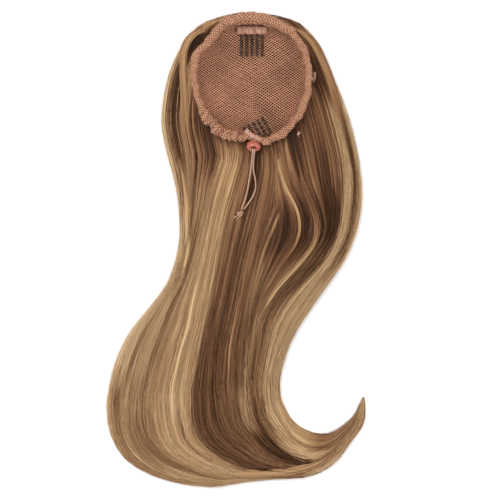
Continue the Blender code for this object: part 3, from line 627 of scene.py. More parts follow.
def face_mesh(name, points, quads, caps, attributes):
    """A smooth mesh from arrays of points, four-sided faces and caps.

    Attributes hold a number or a vector for each point.
    """
    mesh = bpy.data.meshes.new(name)
    loops = np.concatenate([quads.ravel(), caps.ravel()])
    sizes = np.concatenate([np.full(len(quads), 4), np.full(len(caps), caps.shape[1])])
    mesh.vertices.add(len(points))
    mesh.vertices.foreach_set("co", points.astype(np.float32).ravel())
    mesh.loops.add(len(loops))
    mesh.loops.foreach_set("vertex_index", loops.astype(np.int32))
    mesh.polygons.add(len(sizes))
    starts = np.concatenate([[0], np.cumsum(sizes)[:-1]])
    mesh.polygons.foreach_set("loop_start", starts.astype(np.int32))
    mesh.polygons.foreach_set("use_smooth", np.full(len(sizes), True))
    mesh.update(calc_edges=True)
    for key, values in attributes.items():
        values = np.asarray(values, np.float32)
        vector = values.shape[-1] == 3 and values.size == 3 * len(points)
        made = mesh.attributes.new(key, "FLOAT_VECTOR" if vector else "FLOAT", "POINT")
        made.data.foreach_set("vector" if vector else "value", values.ravel())
    mesh.validate()
    return mesh


def path_frames(path):
    """Unit directions level across a path of points, and up from it."""
    ahead = unit(np.gradient(path, axis=-2))
    aside = unit(np.cross(ahead, np.array((0, 0, 1.0))))
    return aside, np.cross(aside, ahead)


def round_rings(path, radius, sides, twist=0.0, plies=0, ply_depth=0.0):
    """Rings round a path. With plies, the radius has that many ridges, turned by the twist."""
    aside, up = path_frames(path)
    shape = path.shape[:-1] + (sides,)
    turn = np.broadcast_to(np.linspace(0, TAU, sides, endpoint=False), shape)
    reach = np.broadcast_to(np.asarray(radius, float)[..., None], shape)
    if plies:
        lobe = np.abs(np.cos(plies / 2 * (turn - twist * length_along(path)[..., None])))
        reach = reach * (1 - ply_depth * (1 - lobe))
    return (path[..., None, :] + (np.cos(turn) * reach)[..., None] * aside[..., None, :]
            + (np.sin(turn) * reach)[..., None] * up[..., None, :])


# Strands

def wisp_rings(section, share, width, lift, thickness, ridge, seed, upper=13, lower=3):
    """Flattened bundles of strands that lie on the hair, each an array row of stations.

    Across its width a wisp is an arch with ridges: lift + arch (1 - 4 a^2) + ridge for every
    second point, at a from -1/2 to 1/2. Its lower side follows thickness below.
    """
    random = np.random.default_rng(seed)
    count = len(section)
    across = np.linspace(-0.5, 0.5, upper)
    place = share[..., None] + across * (width / np.maximum(hair_width(section), 1))[..., None]
    sections = np.broadcast_to(section[..., None], place.shape)
    line = flow_line(np.clip(place, 0, 1), sections)
    normal = hair_normal(sections, place)
    ridges = np.arange(upper) % 2 * random.uniform(.5, 1.3, (count, 1, upper))
    fullness = np.clip(width / FULL_WIDTH, 0.15, 1)[..., None]
    arch = (1 - 4 * across ** 2) * WISP_ARCH * fullness
    rise = lift[..., None] + arch + ridge * ridges * fullness - crease_depth(line)
    top = hair_surface(sections, place) + normal * rise[..., None]
    below = np.round(np.linspace(upper - 2, 1, lower)).astype(int)
    under = top[:, :, below] - normal[:, :, below] * thickness[..., None, None]
    rings = np.concatenate([top, under], 2)
    rings[..., 2] = np.maximum(rings[..., 2], FLOOR_GAP)
    spots = np.concatenate([across, across[below]])
    lines = np.concatenate([line, line[:, :, below]], 2)
    length = length_along(top[:, :, upper // 2])
    offset = random.uniform(0, 200, (count, 1, 1))
    flow = np.stack(np.broadcast_arrays(spots * STREAKS_ACROSS + offset,
                                        length[..., None] + offset * 3, offset), -1)
    return rings, lines, flow


def add_hair(name, sets, material, *nodes):
    """One piece of hair from several sets of rings, tones and flow places."""
    rings, tones, flows = (np.concatenate(part) for part in zip(*sets))
    add_object(name, rings, material, "hair", *nodes, tone=tones, flow=flows)


def spread_lines(count, random):
    """Flow lines spaced evenly by their mean share at several sections."""
    lines = np.linspace(0, 1, 2001)
    mean = sum(flow_share(lines, np.full(lines.shape, float(s))) for s in SPREAD_SECTIONS)
    places = (np.arange(count) + random.uniform(0.1, 0.9, count)) / count
    return np.interp(places, mean / mean[-1], lines)


def way_round_cap(lines, clearance):
    """Where each flow line goes under the cap and comes out: its first and last section."""
    sections = np.linspace(0.1, LAST_UNDER_CAP, 480)
    grid_lines, grid_sections = np.meshgrid(lines, sections, indexing="ij")
    spots = hair_surface(grid_sections, flow_share(grid_lines, grid_sections))
    bearing, radius = mouth_polar(spots[..., 0], spots[..., 1])
    under = radius < mouth_rows(bearing)[..., 0] + clearance
    touched = under.any(1)
    enter = np.where(touched, sections[under.argmax(1)], LAST_UNDER_CAP)
    leave = np.where(touched, sections[-1 - under[:, ::-1].argmax(1)], 0)
    return touched, enter, leave


def taper(stations, head, tail):
    """A width that grows over the head's share of the length and shrinks over the tail's."""
    along = np.linspace(0, 1, stations)
    return smooth_step(along / head) ** 0.7, smooth_step((1 - along) / tail) ** 0.8


def spread_tone(tone, rings, by_wisp, by_strand, random):
    """Tone moved by a random amount for each wisp and for each row of points along it."""
    count, _, around = rings.shape[:3]
    tone = tone + random.normal(0, by_wisp, (count, 1, 1))
    return tone + random.normal(0, by_strand, (count, 1, around))


def run_wisps(lines, first, last, width, lift, seed, stations, tone_spread,
              head_share=0.06, narrow=1.8, wide_limit=8.5, upper=13, lower=3):
    """Wisps along flow lines from one section to another, with random wander and tone.

    The width is in flow lines, so that wisps widen and narrow with the flow.
    """
    random = np.random.default_rng(seed)
    count = len(lines)
    along = np.linspace(0, 1, stations)
    section = first[:, None] + (last - first)[:, None] * along
    limit = hair_width(section)
    share = flow_share(lines[:, None], section)
    wave = random_wave(along, .6, 2.2, count, random)
    share = share + wave * WISP_WANDER / np.maximum(limit, 8)
    head, tail = taper(stations, head_share, 0.16)
    ends = head * tail
    left, right = (flow_share(np.clip(lines + step, 0, 1)[:, None], section)
                   for step in (-LINE_STEP, LINE_STEP))
    cell = (right - left) / (2 * LINE_STEP) * limit * width
    wide = np.minimum(np.clip(cell, narrow, wide_limit), 0.35 * limit) * (0.04 + 0.96 * ends)
    high = lift[:, None] - 1.2 * (1 - head) - 0.8 * (1 - tail)
    thick = 0.25 + 0.85 * ends
    rings, lines_there, flow = wisp_rings(section, share, wide, high, thick, ridge=0.32,
                                          seed=seed + 1, upper=upper, lower=lower)
    jitter = random.normal(0, 0.008, (count, 1, 1))
    fibre = random.normal(0, 0.006, (count, 1, rings.shape[2]))
    tone = tone_at(lines_there + jitter + fibre, section[..., None])
    return rings, spread_tone(tone, rings, tone_spread, tone_spread * 0.8, random), flow


def strand_rings(lines, first, last, lift, radius, wander, seed, stations=20):
    """Single loose strands of three sides along flow lines."""
    random = np.random.default_rng(seed)
    count = len(lines)
    along = np.linspace(0, 1, stations)
    section = first[:, None] + (last - first)[:, None] * along
    share = flow_share(lines[:, None], section)
    wave = sum(random_wave(along, *turns, count, random) for turns in ((.4, 1.2), (1.4, 3)))
    drift = wander[:, None] * (wave * 0.6 + along * random.normal(0, 1, (count, 1)))
    share = share + drift / np.maximum(hair_width(section), 10)
    ends = np.minimum(1, np.minimum(along, 1 - along) * 8)
    rise = lift[:, None] * (0.2 + 0.8 * ends) - 0.6 * (1 - ends)
    path = hair_surface(section, share) + hair_normal(section, share) * rise[..., None]
    rings = round_rings(path, radius[:, None] * (0.3 + 0.7 * ends), 3)
    rings[..., 2] = np.maximum(rings[..., 2], FLOOR_GAP)
    tone = tone_at(lines[:, None] + random.normal(0, .004, (count, 1)), section)
    tone = tone + random.normal(0.04, 0.2, (count, 1))
    tone = np.broadcast_to(tone[..., None], rings.shape[:-1])
    length = along * 300 + random.uniform(0, 900, (count, 1))
    offset = random.uniform(0, 400, (count, 1, 1))
    flow = np.stack(np.broadcast_arrays(offset, length[..., None], np.zeros(3)), -1)
    return rings, tone, flow


def nearest_places(route):
    """Section and share of the hair surface nearest to each point of a level route."""
    sections, shares = np.meshgrid(GRID_SECTIONS, GRID_SHARES, indexing="ij")
    spots = hair_surface(sections, shares)[..., :2].reshape(-1, 2)
    apart = ((route[:, None, :2] - spots[None]) ** 2).sum(-1)
    best = apart.argmin(1)
    return sections.ravel()[best], shares.ravel()[best]


def smoothed(values, passes):
    """Values with each one moved to the mean of its neighbours, ends held."""
    for _ in range(passes):
        values = np.concatenate([values[:1], (values[:-2] + 2 * values[1:-1] + values[2:]) / 4,
                                 values[-1:]])
    return values


def lock_wisps(lock, seed):
    """A raised lock as a sheaf of wisps side by side over an elliptical section."""
    random = np.random.default_rng(seed)
    route = smooth_route(lock.route, LOCK_STATIONS)
    section, share = (smoothed(v, 14) for v in nearest_places(route))
    count = max(4, int(lock.width * 0.9))
    place = np.linspace(-0.42, 0.42, count)[:, None]
    along = np.linspace(0, 1, LOCK_STATIONS)
    head, tail = taper(LOCK_STATIONS, 0.16, 0.36)
    full = head * tail
    wave = random_wave(along, .5, 1.6, count, random)
    aside = place * lock.width * (0.15 + 0.85 * full) + 0.35 * wave
    # The width runs across the section, so a route that crosses it aslant needs less.
    row = catmull_rows(HAIR_SECTIONS, section)
    line_way = unit(row[:, 2:4] - row[:, :2])
    route_way = unit(np.gradient(route[:, :2], axis=0))
    aslant = np.abs(line_way[:, 0] * route_way[:, 1] - line_way[:, 1] * route_way[:, 0])
    share = share[None] + aside / np.maximum(aslant, 0.35) / hair_width(section)
    section = np.broadcast_to(section, share.shape)
    lift = (lock.height * 0.78 * np.sqrt(1 - (place * 1.9) ** 2) * full - 1.5 + 0.9 * full
            + random.uniform(-.3, .3, (count, 1)))
    wide = lock.width / count * 2.1 * (0.05 + 0.95 * full) * random.uniform(.8, 1.2, (count, 1))
    rings, _, flow = wisp_rings(section, share, np.broadcast_to(wide, share.shape), lift,
                                thickness=0.4 + 1.2 * full, ridge=0.3, seed=seed + 1)
    tone = lock.tone + (lock.tone_end - lock.tone) * smooth_step((along - lock.turn) / 0.4 + 0.5)
    tone = spread_tone(tone[None, :, None], rings, by_wisp=.08, by_strand=.07, random=random)
    return rings, tone, flow


def core_rings():
    """The mass under the strands, painted dark as shade: the hair surface, sunk, with the cap's
    nest in it.
    """
    half = CORE_STATIONS // 2
    section = np.concatenate([np.linspace(*CORE_DENSE, half), np.linspace(*CORE_REST, half)])
    shares = np.concatenate([np.linspace(0, 1, CORE_TOPS), [1.02, 1.06, 1.2, 1.4, 1.495],
                             [-0.495, -0.4, -0.2, -0.06, -0.02]])
    section, share = np.meshgrid(section, shares, indexing="ij")
    spots = hair_surface(section, share) - hair_normal(section, share) * CORE_SINK
    spots[..., 2] = np.maximum(spots[..., 2], CORE_LEAST)
    bearing, radius = mouth_polar(spots[..., 0], spots[..., 1])
    reach = mouth_rows(bearing)[..., 0]
    nest = np.minimum(spots[..., 2], dome_height(bearing, radius) - NEST_GAP)
    top = (share >= 0) & (share <= 1)
    spots[..., 2] = np.where(top & (radius < reach + 1), nest, spots[..., 2])
    line = flow_line(np.clip(share, 0, 1), section)
    flow = np.stack([share * 190, section * 18, section * 0], -1)
    # Painted shade: near black in the nest under the net, and darker than the strands elsewhere.
    tone = np.where(top & (radius < reach), NEST_SHADE, tone_at(line, section) + CORE_SHADE)
    return spots[None], tone[None], flow[None]


# Net

def net_threads(angle, other, pitch, radius, seed, over):
    """Threads of one family, laid straight on the dome's flat pattern.

    In the pattern the distance from the middle is the length up the dome. Thread i meets
    thread j of the other family where its length t has t sin(turn between the families)
    + its offset times cos(turn) = j pitch, and the height there is cos(pi (i + j)), so that
    the threads go over and under each other.
    """
    random = np.random.default_rng(seed)
    sines = np.linspace(0, 1, 400)
    radii = sines ** (2 / DOME_POWER)
    heights = NET_RISE * (1 - np.sqrt(1 - sines ** 2))
    mean = MOUTH_ROWS[:, 1].mean() + NET_TUCK
    length = np.r_[0, np.cumsum(np.hypot(np.diff(radii * mean), np.diff(heights)))]
    reach = length[-1]
    count = int(2 * reach / pitch)
    rows = np.arange(count)[:, None] - (count - 1) / 2
    offsets = rows * pitch + random.normal(0, 0.07, (count, 1))
    half = np.sqrt(np.maximum(reach ** 2 - offsets ** 2, 4))
    along = np.linspace(-1, 1, NET_STATIONS) * half
    apart = math.radians(angle - other)
    met = (along * math.sin(apart) + offsets * math.cos(apart)) / pitch
    wave = np.cos(math.pi * (met + rows)) * (1 if over else -1)
    x, y = turned(along, offsets, angle)
    # The cloth is pulled about, which bends both families alike.
    x, y = (x + 0.9 * np.sin(y / 13 + x / 31) + 0.35 * np.sin(y / 5.5 - x / 9),
            y + 0.9 * np.sin(x / 15 - y / 37 + 1) + 0.35 * np.sin(x / 6.5 + y / 8))
    bearing = np.degrees(np.arctan2(x, y)) % 360
    share = np.interp(np.minimum(np.hypot(x, y), reach), length, radii)
    radius_there = share * (mouth_rows(bearing)[..., 0] + NET_TUCK)
    path = mouth_point(bearing, radius_there, dome_height(bearing, radius_there))
    path[..., 2] += 0.3 * wave - 0.75 + 0.22 * np.sin(x / 13) * np.sin(y / 17 + 1)
    # The last of the net turns up into the casing, where it is sewn.
    path[..., 2] += NET_SEWN_RISE * smooth_step((share - 0.9) / 0.08)
    rings = round_rings(path, radius * random.uniform(.9, 1.1, (count, 1)), 3)
    # Painted shade: a thread is darker where it dips under the other family; each also has a random
    # tone of its own.
    shade = 0.5 + 0.12 * wave[..., None] + random.normal(0, 0.12, (count, 1, 1))
    shade = np.broadcast_to(shade, rings.shape[:-1])
    return rings, shade


# Casing

def casing_rings():
    """The ruched tube: an oval section, creased by gathers of uneven spacing and slant.

    Between two creases the cloth swells by the root of a half sine. Waves round and along
    the tube crumple it, by sums of sines of whole numbers of turns. Both grow with the
    ruffle at the bearing.
    """
    random = np.random.default_rng(41)
    bearing = np.linspace(0, 360, CASING_STATIONS, endpoint=False)[:, None]
    rows = mouth_rows(bearing[:, 0])
    radius, wide, tall, ruffle = (smoothed_ring(rows[:, k], 4)[:, None] for k in range(4))
    turn = np.linspace(0, TAU, CASING_AROUND, endpoint=False)[None]
    circle = np.radians(bearing)
    spacing = random.uniform(0.35, 1.6, CASING_FOLDS)
    edges = np.r_[0, np.cumsum(spacing)] * 360 / spacing.sum()
    slant = (2.6 * np.sin(turn + 3 * circle) * np.sin(7 * circle + 1)
             + 1.2 * np.sin(2 * turn - 5 * circle))
    place = (bearing + slant) % 360
    cell = np.clip(np.searchsorted(edges, place, side="right") - 1, 0, CASING_FOLDS - 1)
    within = (place - edges[cell]) / (edges[cell + 1] - edges[cell])
    fold_height = random.uniform(0.2, 1.0, CASING_FOLDS)[cell]
    swell = np.sqrt(np.abs(np.sin(math.pi * within)))
    crumple = np.zeros_like(place)
    for count, size in CRUMPLES:
        for ways in (-2, 1, 3):
            crumple += size * np.sin(count * circle + ways * turn + random.uniform(0, TAU))
    # The crease's depth pulls the cloth in, and through the weave it also paints shade into the
    # crease.
    depth = fold_height * (1 - swell) * (0.25 + 0.75 * ruffle)
    scale = 1 - 0.26 * depth + crumple * (0.35 + 0.9 * ruffle)
    out = CASING_FULLNESS * wide * scale * signed_power(np.cos(turn), 0.9)
    up = CASING_FULLNESS * tall * scale * signed_power(np.sin(turn), 0.9)
    wobble = 0.5 * np.sin(17 * circle + 2) + 0.4 * np.sin(29 * circle) * (0.4 + ruffle)
    z = CASING_BASE + tall * CASING_SWELL + up
    rings = mouth_point(bearing, radius + wobble + out, z)
    girth = np.broadcast_to(turn / TAU * 26, place.shape)
    length = np.broadcast_to(circle * 61, place.shape)
    weave = np.stack([length, girth, length * 0], -1)
    return rings[None], weave[None], depth[None]


def smoothed_ring(values, passes):
    """Values round a ring, each moved to the mean of its neighbours."""
    for _ in range(passes):
        values = (np.roll(values, 1) + 2 * values + np.roll(values, -1)) / 4
    return values


def thread_tufts(places, seed):
    """Frayed thread ends: clusters of fibres, each on a smoothed sum of random steps."""
    random = np.random.default_rng(seed)
    steps = random.normal(0, 1, (len(places), TUFT_FIBRES, TUFT_STATIONS, 3)) * (0.6, 0.8, 0.2)
    steps[..., 1:, :] = (steps[..., 1:, :] + steps[..., :-1, :]) / 2
    path = np.cumsum(steps, 2)
    path += np.array(places)[:, None, None] - 0.8 * path.mean(2, keepdims=True)
    return round_rings(path.reshape(-1, TUFT_STATIONS, 3), TUFT_RADIUS, sides=6)


# Combs and tape

def comb_path(tips, turn, first_length, last_length, tape_from):
    """The comb's wire: legs in pairs, joined by half-round bends, laid over the net.

    Inside the tape, from a length along the legs, the wire lies higher.
    """
    lengths = np.linspace(first_length, last_length, COMB_LEGS)
    pairs = np.arange(COMB_LEGS) // 2 - (COMB_LEGS / 2 - 1) / 2
    sides = np.where(np.arange(COMB_LEGS) % 2, 0.5, -0.5)
    legs = pairs * TOOTH_SPACING + sides * TOOTH_WIDTH
    flat = []
    for leg, length in enumerate(lengths):
        heights = np.linspace(length - BEND_LENGTH, BEND_LENGTH, 5)
        flat += [(legs[leg], y) for y in (heights if leg % 2 == 0 else heights[::-1])]
        if leg < COMB_LEGS - 1:
            half = (legs[leg + 1] - legs[leg]) / 2
            middle, outwards = (BEND_LENGTH, -1) if leg % 2 == 0 else (length - BEND_LENGTH, 1)
            flat += [(legs[leg] + half - half * math.cos(t), middle + outwards * half * math.sin(t))
                     for t in np.radians((45, 90, 135))]
    route = smooth_route(flat, COMB_STATIONS)
    x, y = (start + way for start, way in zip(tips, turned(*route.T, turn)))
    lift = WIRE_LIFT + TAPE_RISE * np.clip((route[:, 1] - tape_from + 5) / 4, 0, 1)
    return np.stack([x, y, on_net(x, y, lift)], -1)


def on_net(x, y, lift):
    """The height of a point that lies lift away from the net, square to it."""
    bearing, radius = mouth_polar(x, y)
    here = dome_height(bearing, radius)
    slope = (dome_height(bearing, radius + 0.1) - here) / 0.1
    return here + lift * np.minimum(np.hypot(1, slope), 2)


def winding(path, reach, pitch):
    """A path wound round another path at a distance, once for each pitch of length."""
    aside, up = path_frames(path)
    turn = length_along(path)[:, None] * TAU / pitch
    return path + reach * (np.cos(turn) * aside + np.sin(turn) * up)


def strip_rings(middles, width, height, stations, seed, around=28):
    """A soft folded strip along a level route: a flat oval section with small wrinkles."""
    random = np.random.default_rng(seed)
    route = smooth_route(middles, stations)
    aside, _ = path_frames(route)
    turn = np.linspace(0, TAU, around, endpoint=False)
    along = np.linspace(0, 1, stations)[:, None]
    end = np.sqrt(np.clip(np.minimum(along, 1 - along) * stations / 2.5, 0.12, 1))
    ragged = sum(0.14 * np.sin(along * k + turn * m + random.uniform(0, TAU))
                 for k, m in ((19, 1), (31, 2), (47, -1), (83, 3), (120, 0)))
    out = (width / 2 + ragged * 1.3) * signed_power(np.cos(turn), 0.45)
    up = (height / 2 * end + ragged * 0.7) * signed_power(np.sin(turn), 0.7)
    rings = route[:, None] + out[..., None] * aside[:, None]
    rings[..., 2] += up
    weave = np.stack(np.broadcast_arrays(along * 40, turn / TAU * 2 * (width + height), 0), -1)
    # Painted shade in the troughs of the wrinkles.
    depth = np.clip(0.3 - ragged, 0, 1) * 0.6
    return rings[None], weave[None], depth[None]


# Materials

class Shader:
    """A material's nodes, added and joined in short calls."""

    def __init__(self, name, roughness, specular=0.4):
        self.material = bpy.data.materials.new(name)
        self.material.use_nodes = True
        self.tree = self.material.node_tree
        self.surface = self.tree.nodes["Principled BSDF"]
        self.surface.inputs["Roughness"].default_value = roughness
        self.surface.inputs["Specular IOR Level"].default_value = specular

    def node(self, kind, **values):
        """A node with its properties set. A value for an input's name goes to the input."""
        made = self.tree.nodes.new("ShaderNode" + kind)
        for key, value in values.items():
            if hasattr(made, key):
                setattr(made, key, value)
            else:
                self.put(value, made.inputs[key.replace("_", " ")])
        return made

    def put(self, value, socket):
        """Joins an output to a socket, or sets the socket's number or colour."""
        if isinstance(value, bpy.types.NodeSocket):
            self.tree.links.new(value, socket)
        else:
            socket.default_value = value

    def maths(self, operation, first, second=0.0, third=0.0):
        """One sum, product or other operation on values or outputs."""
        made = self.node("Math", operation=operation)
        for value, socket in zip((first, second, third), made.inputs):
            self.put(value, socket)
        return made.outputs[0]

    def varied(self, value, noise, strength):
        """A value moved up and down by noise."""
        return self.maths("MULTIPLY_ADD", self.maths("SUBTRACT", noise, 0.5), strength, value)

    def attribute(self, name, output="Fac"):
        """A value or vector that the mesh holds for each point."""
        return self.node("Attribute", attribute_name=name).outputs[output]

    def scaled(self, vector, scale):
        """A vector with each axis scaled."""
        made = self.node("Mapping")
        self.put(vector, made.inputs["Vector"])
        made.inputs["Scale"].default_value = scale
        return made.outputs[0]

    def noise(self, vector, scale=1.0, detail=2.0):
        """Soft random values of about 0.3 to 0.7 along a vector."""
        made = self.node("TexNoise", Vector=vector, Scale=scale, Detail=detail)
        return made.outputs["Fac"]

    def ramp(self, value, stops):
        """A colour that runs through stops of (place, colour)."""
        made = self.node("ValToRGB")
        self.put(value, made.inputs["Fac"])
        elements = made.color_ramp.elements
        while len(elements) < len(stops):
            elements.new(0.5)
        for element, (place, colour) in zip(elements, stops):
            element.position = place
            element.color = (*colour, 1)
        return made.outputs["Color"]

    def bump(self, height, distance, strength=1.0):
        """Fine relief on the surface, distance in metres."""
        made = self.node("Bump", Height=height, Distance=distance, Strength=strength)
        self.put(made.outputs["Normal"], self.surface.inputs["Normal"])

    def colour(self, value):
        """Sets the base colour."""
        self.put(value, self.surface.inputs["Base Color"])


def hair_material(name):
    """Straight fibre: tone from the mesh, broken up by streaks along the strands."""
    shader = Shader(name, roughness=0.5, specular=0.22)
    shader.surface.inputs["Specular Tint"].default_value = (1.0, 0.72, 0.5, 1)
    flow = shader.attribute("flow", "Vector")
    tone = shader.attribute("tone")
    streaks = [shader.noise(shader.scaled(flow, scale), detail=detail)
               for scale, detail, _ in STREAKS]
    for streak, (_, _, strength) in zip(streaks, STREAKS):
        tone = shader.varied(tone, streak, strength)
    place = shader.maths("MULTIPLY_ADD", tone, 1 / TONE_RANGE, -DARKEST_TONE / TONE_RANGE)
    shader.colour(shader.ramp(place, HAIR_COLOURS))
    shader.bump(streaks[0], distance=0.0002, strength=0.7)
    return shader.material


def weave_material(name, colour, dark, pitch, roughness=0.8):
    """Knitted or woven cloth: crossed ridges at a pitch in millimetres, paler on their tops as
    painted light, dark between them as painted shade, and darker in creases as painted shade.
    """
    shader = Shader(name, roughness, specular=0.25)
    place = shader.attribute("weave", "Vector")
    parts = shader.node("SeparateXYZ", Vector=place)
    over = [shader.maths("SINE", shader.maths("MULTIPLY", parts.outputs[k], TAU / pitch))
            for k in (0, 1)]
    knit = shader.maths("MULTIPLY_ADD", shader.maths("MULTIPLY", *over), 0.5, 0.5)
    mixed = shader.varied(knit, shader.noise(place, scale=0.3, detail=4), 0.7)
    # Painted shade: the deeper the crease or wrinkle, the darker the cloth.
    mixed = shader.maths("MULTIPLY_ADD", shader.attribute("depth"), -0.6, mixed)
    # Painted light and shade: the ridges' tops go paler and the openings between them dark.
    pale = tuple(min(c * 1.2, 1) for c in colour)
    shader.colour(shader.ramp(mixed, [(0.2, dark), (0.46, colour), (0.9, pale)]))
    shader.bump(knit, distance=0.0003, strength=0.8)
    return shader.material


def thread_material(name, colour, dark):
    """Net thread: each thread a little lighter or darker by its shade attribute, which on the net
    also paints shade where a thread dips under another; fuzz runs along it.
    """
    shader = Shader(name, roughness=0.8, specular=0.2)
    place = shader.node("TexCoord").outputs["Object"]
    fuzz = shader.noise(place, scale=900, detail=3)
    patch = shader.noise(place, scale=45, detail=2)
    value = shader.maths("MULTIPLY_ADD", shader.attribute("shade"), 0.35, fuzz)
    value = shader.maths("MULTIPLY_ADD", patch, 0.7, value)
    shader.colour(shader.ramp(shader.maths("MULTIPLY", value, 0.6), [(0.2, dark), (0.8, colour)]))
    shader.bump(fuzz, distance=0.0002, strength=0.6)
    return shader.material


def wire_material(name, colour):
    """Dark coated wire with worn, lighter patches."""
    shader = Shader(name, roughness=0.42, specular=0.5)
    shader.surface.inputs["Metallic"].default_value = 0.3
    worn = shader.noise(shader.node("TexCoord").outputs["Object"], scale=600, detail=4)
    lighter = tuple(c * 3 + 0.02 for c in colour)
    shader.colour(shader.ramp(worn, [(0.45, colour), (0.7, lighter)]))
    shader.bump(worn, distance=0.0001, strength=0.5)
    return shader.material


def stop_material(name, colour):
    """Glossy moulded coral plastic with a faint cloud in its colour."""
    shader = Shader(name, roughness=0.3, specular=0.5)
    place = shader.node("TexCoord").outputs["Object"]
    cloud = shader.noise(place, scale=260, detail=3)
    deep = tuple(c * 0.8 for c in colour)
    shader.colour(shader.ramp(cloud, [(0.35, deep), (0.65, colour)]))
    shader.surface.inputs["Subsurface Weight"].default_value = 0.1
    shader.surface.inputs["Subsurface Scale"].default_value = 0.002
    shader.surface.inputs["Coat Weight"].default_value = 0.2
    shader.bump(shader.noise(place, scale=1500, detail=2), distance=0.00005, strength=0.4)
    return shader.material


def floor_material(name, colour):
    """Plain pale floor."""
    shader = Shader(name, roughness=0.9, specular=0.1)
    shader.colour((*colour, 1))
    return shader.material


# Sizes and colours that a user may change

def count_setting(name, description, count, least, most):
    """A whole number that a user may change."""
    return IntProperty(name=name, description=description, default=count, min=least, max=most)


def length_setting(name, description, length):
    """A length that a user may change, in metres."""
    return FloatProperty(name=name, description=description, default=length, unit="LENGTH")


def colour_setting(name, description, colour):
    """A colour that a user may change."""
    return FloatVectorProperty(name=name, description=description, default=colour,
                               subtype="COLOR")


class HairpieceSizes(PropertyGroup):
    """Counts and sizes of the strands, net and casing."""

    wisps: count_setting("Wisps", "Bundles of strands in the under layer", 112, 40, 120)
    over_wisps: count_setting("Over wisps", "Bundles in the upper layer", 168, 20, 180)
    strands: count_setting("Strands", "Single loose strands", 1340, 0, 1600)
    net_pitch: length_setting("Net pitch", "Distance between net threads", 2.1 * MM)
    thread_radius: length_setting("Thread radius", "Radius of a net thread", 0.39 * MM)
    cord_diameter: length_setting("Cord diameter", "Drawstring's diameter", 1.5 * MM)
    view_height: length_setting("View height", "Camera's height over the floor", 2.1)


class HairpieceColours(PropertyGroup):
    """Colours of everything but the hair, which has a table of its own."""

    net: colour_setting("Net", "Net thread", (0.92, 0.47, 0.29))
    casing: colour_setting("Casing", "Ruched casing", (0.39, 0.197, 0.116))
    # The darkest cloth colour: painted shade in the weave's openings and creases and where net
    # threads dip under others, and the dark end of the cord's own random tone.
    cloth_dark: colour_setting("Cloth shade", "Between threads", (0.13, 0.045, 0.022))
    tape: colour_setting("Tape", "Comb tape", (0.72, 0.40, 0.29))
    wire: colour_setting("Wire", "Comb wire", (0.02, 0.012, 0.008))
    stop: colour_setting("Stop", "Drawstring's stop", (0.47, 0.13, 0.08))
    cord: colour_setting("Cord", "Drawstring", (0.60, 0.37, 0.26))
    floor: colour_setting("Floor", "Floor", (0.95, 0.95, 0.95))


# Operators

class HairpieceStep(Operator):
    """Shared parts of every step."""

    bl_options = {"REGISTER", "UNDO"}

    def sizes(self, context):
        """The user's sizes."""
        return context.scene.hairpiece_sizes

    def colours(self, context, *names):
        """The user's colours of those names, each as three numbers."""
        group = context.scene.hairpiece_colours
        return [tuple(getattr(group, name)) for name in names]


class HAIRPIECE_OT_stage(HairpieceStep):
    """Adds the camera above, soft lights and a plain pale floor"""

    bl_idname = "hairpiece.stage"
    bl_label = "Stage"

    def execute(self, context):
        scene, height = context.scene, self.sizes(context).view_height
        data = bpy.data.cameras.new("camera")
        data.sensor_width = SENSOR_WIDTH
        data.lens = SENSOR_WIDTH * (height - VIEW_LEVEL) / VIEW_WIDTH
        data.clip_end = FAR_END
        camera = bpy.data.objects.new("camera", data)
        camera.location = (*VIEW_MIDDLE, height)
        scene.collection.objects.link(camera)
        scene.camera = camera
        corners = np.array([(-1, -1, 0), (1, -1, 0), (1, 1, 0), (-1, 1, 0)]) * FLOOR_REACH
        mesh = bpy.data.meshes.new("floor")
        mesh.from_pydata((corners - (0, 0, FLOOR_DROP)).tolist(), [], [(0, 1, 2, 3)])
        mesh.materials.append(floor_material("floor", *self.colours(context, "floor")))
        floor = bpy.data.objects.new("floor", mesh)
        scene.collection.objects.link(floor)
        for name, (place, size, power) in LIGHTS.items():
            self.light(context, name, place, size, power)
        world = bpy.data.worlds.new("soft_room")
        world.use_nodes = True
        background = world.node_tree.nodes["Background"].inputs
        background["Color"].default_value = (1, 1, 1, 1)
        background["Strength"].default_value = ROOM_LIGHT
        scene.world = world
        scene.view_settings.view_transform = "Standard"
        scene.view_settings.look = "None"
        return {"FINISHED"}

    def light(self, context, name, place, size, power):
        """A square soft light that points at the hairpiece."""
        data = bpy.data.lights.new(name, "AREA")
        data.size = size
        data.energy = power
        lamp = bpy.data.objects.new(name, data)
        lamp.location = place
        away = np.array(place) / np.linalg.norm(place)
        lamp.rotation_euler = (math.acos(away[2]), 0, math.atan2(away[1], away[0]) + math.pi / 2)
        context.scene.collection.objects.link(lamp)


class HAIRPIECE_OT_core(HairpieceStep):
    """Adds the mass of hair under the strands, painted dark as shade, with the cap's nest in it"""

    bl_idname = "hairpiece.core"
    bl_label = "Hair core"

    def execute(self, context):
        add_hair("hair_core", [core_rings()], hair_material("hair_under"), "hair")
        return {"FINISHED"}


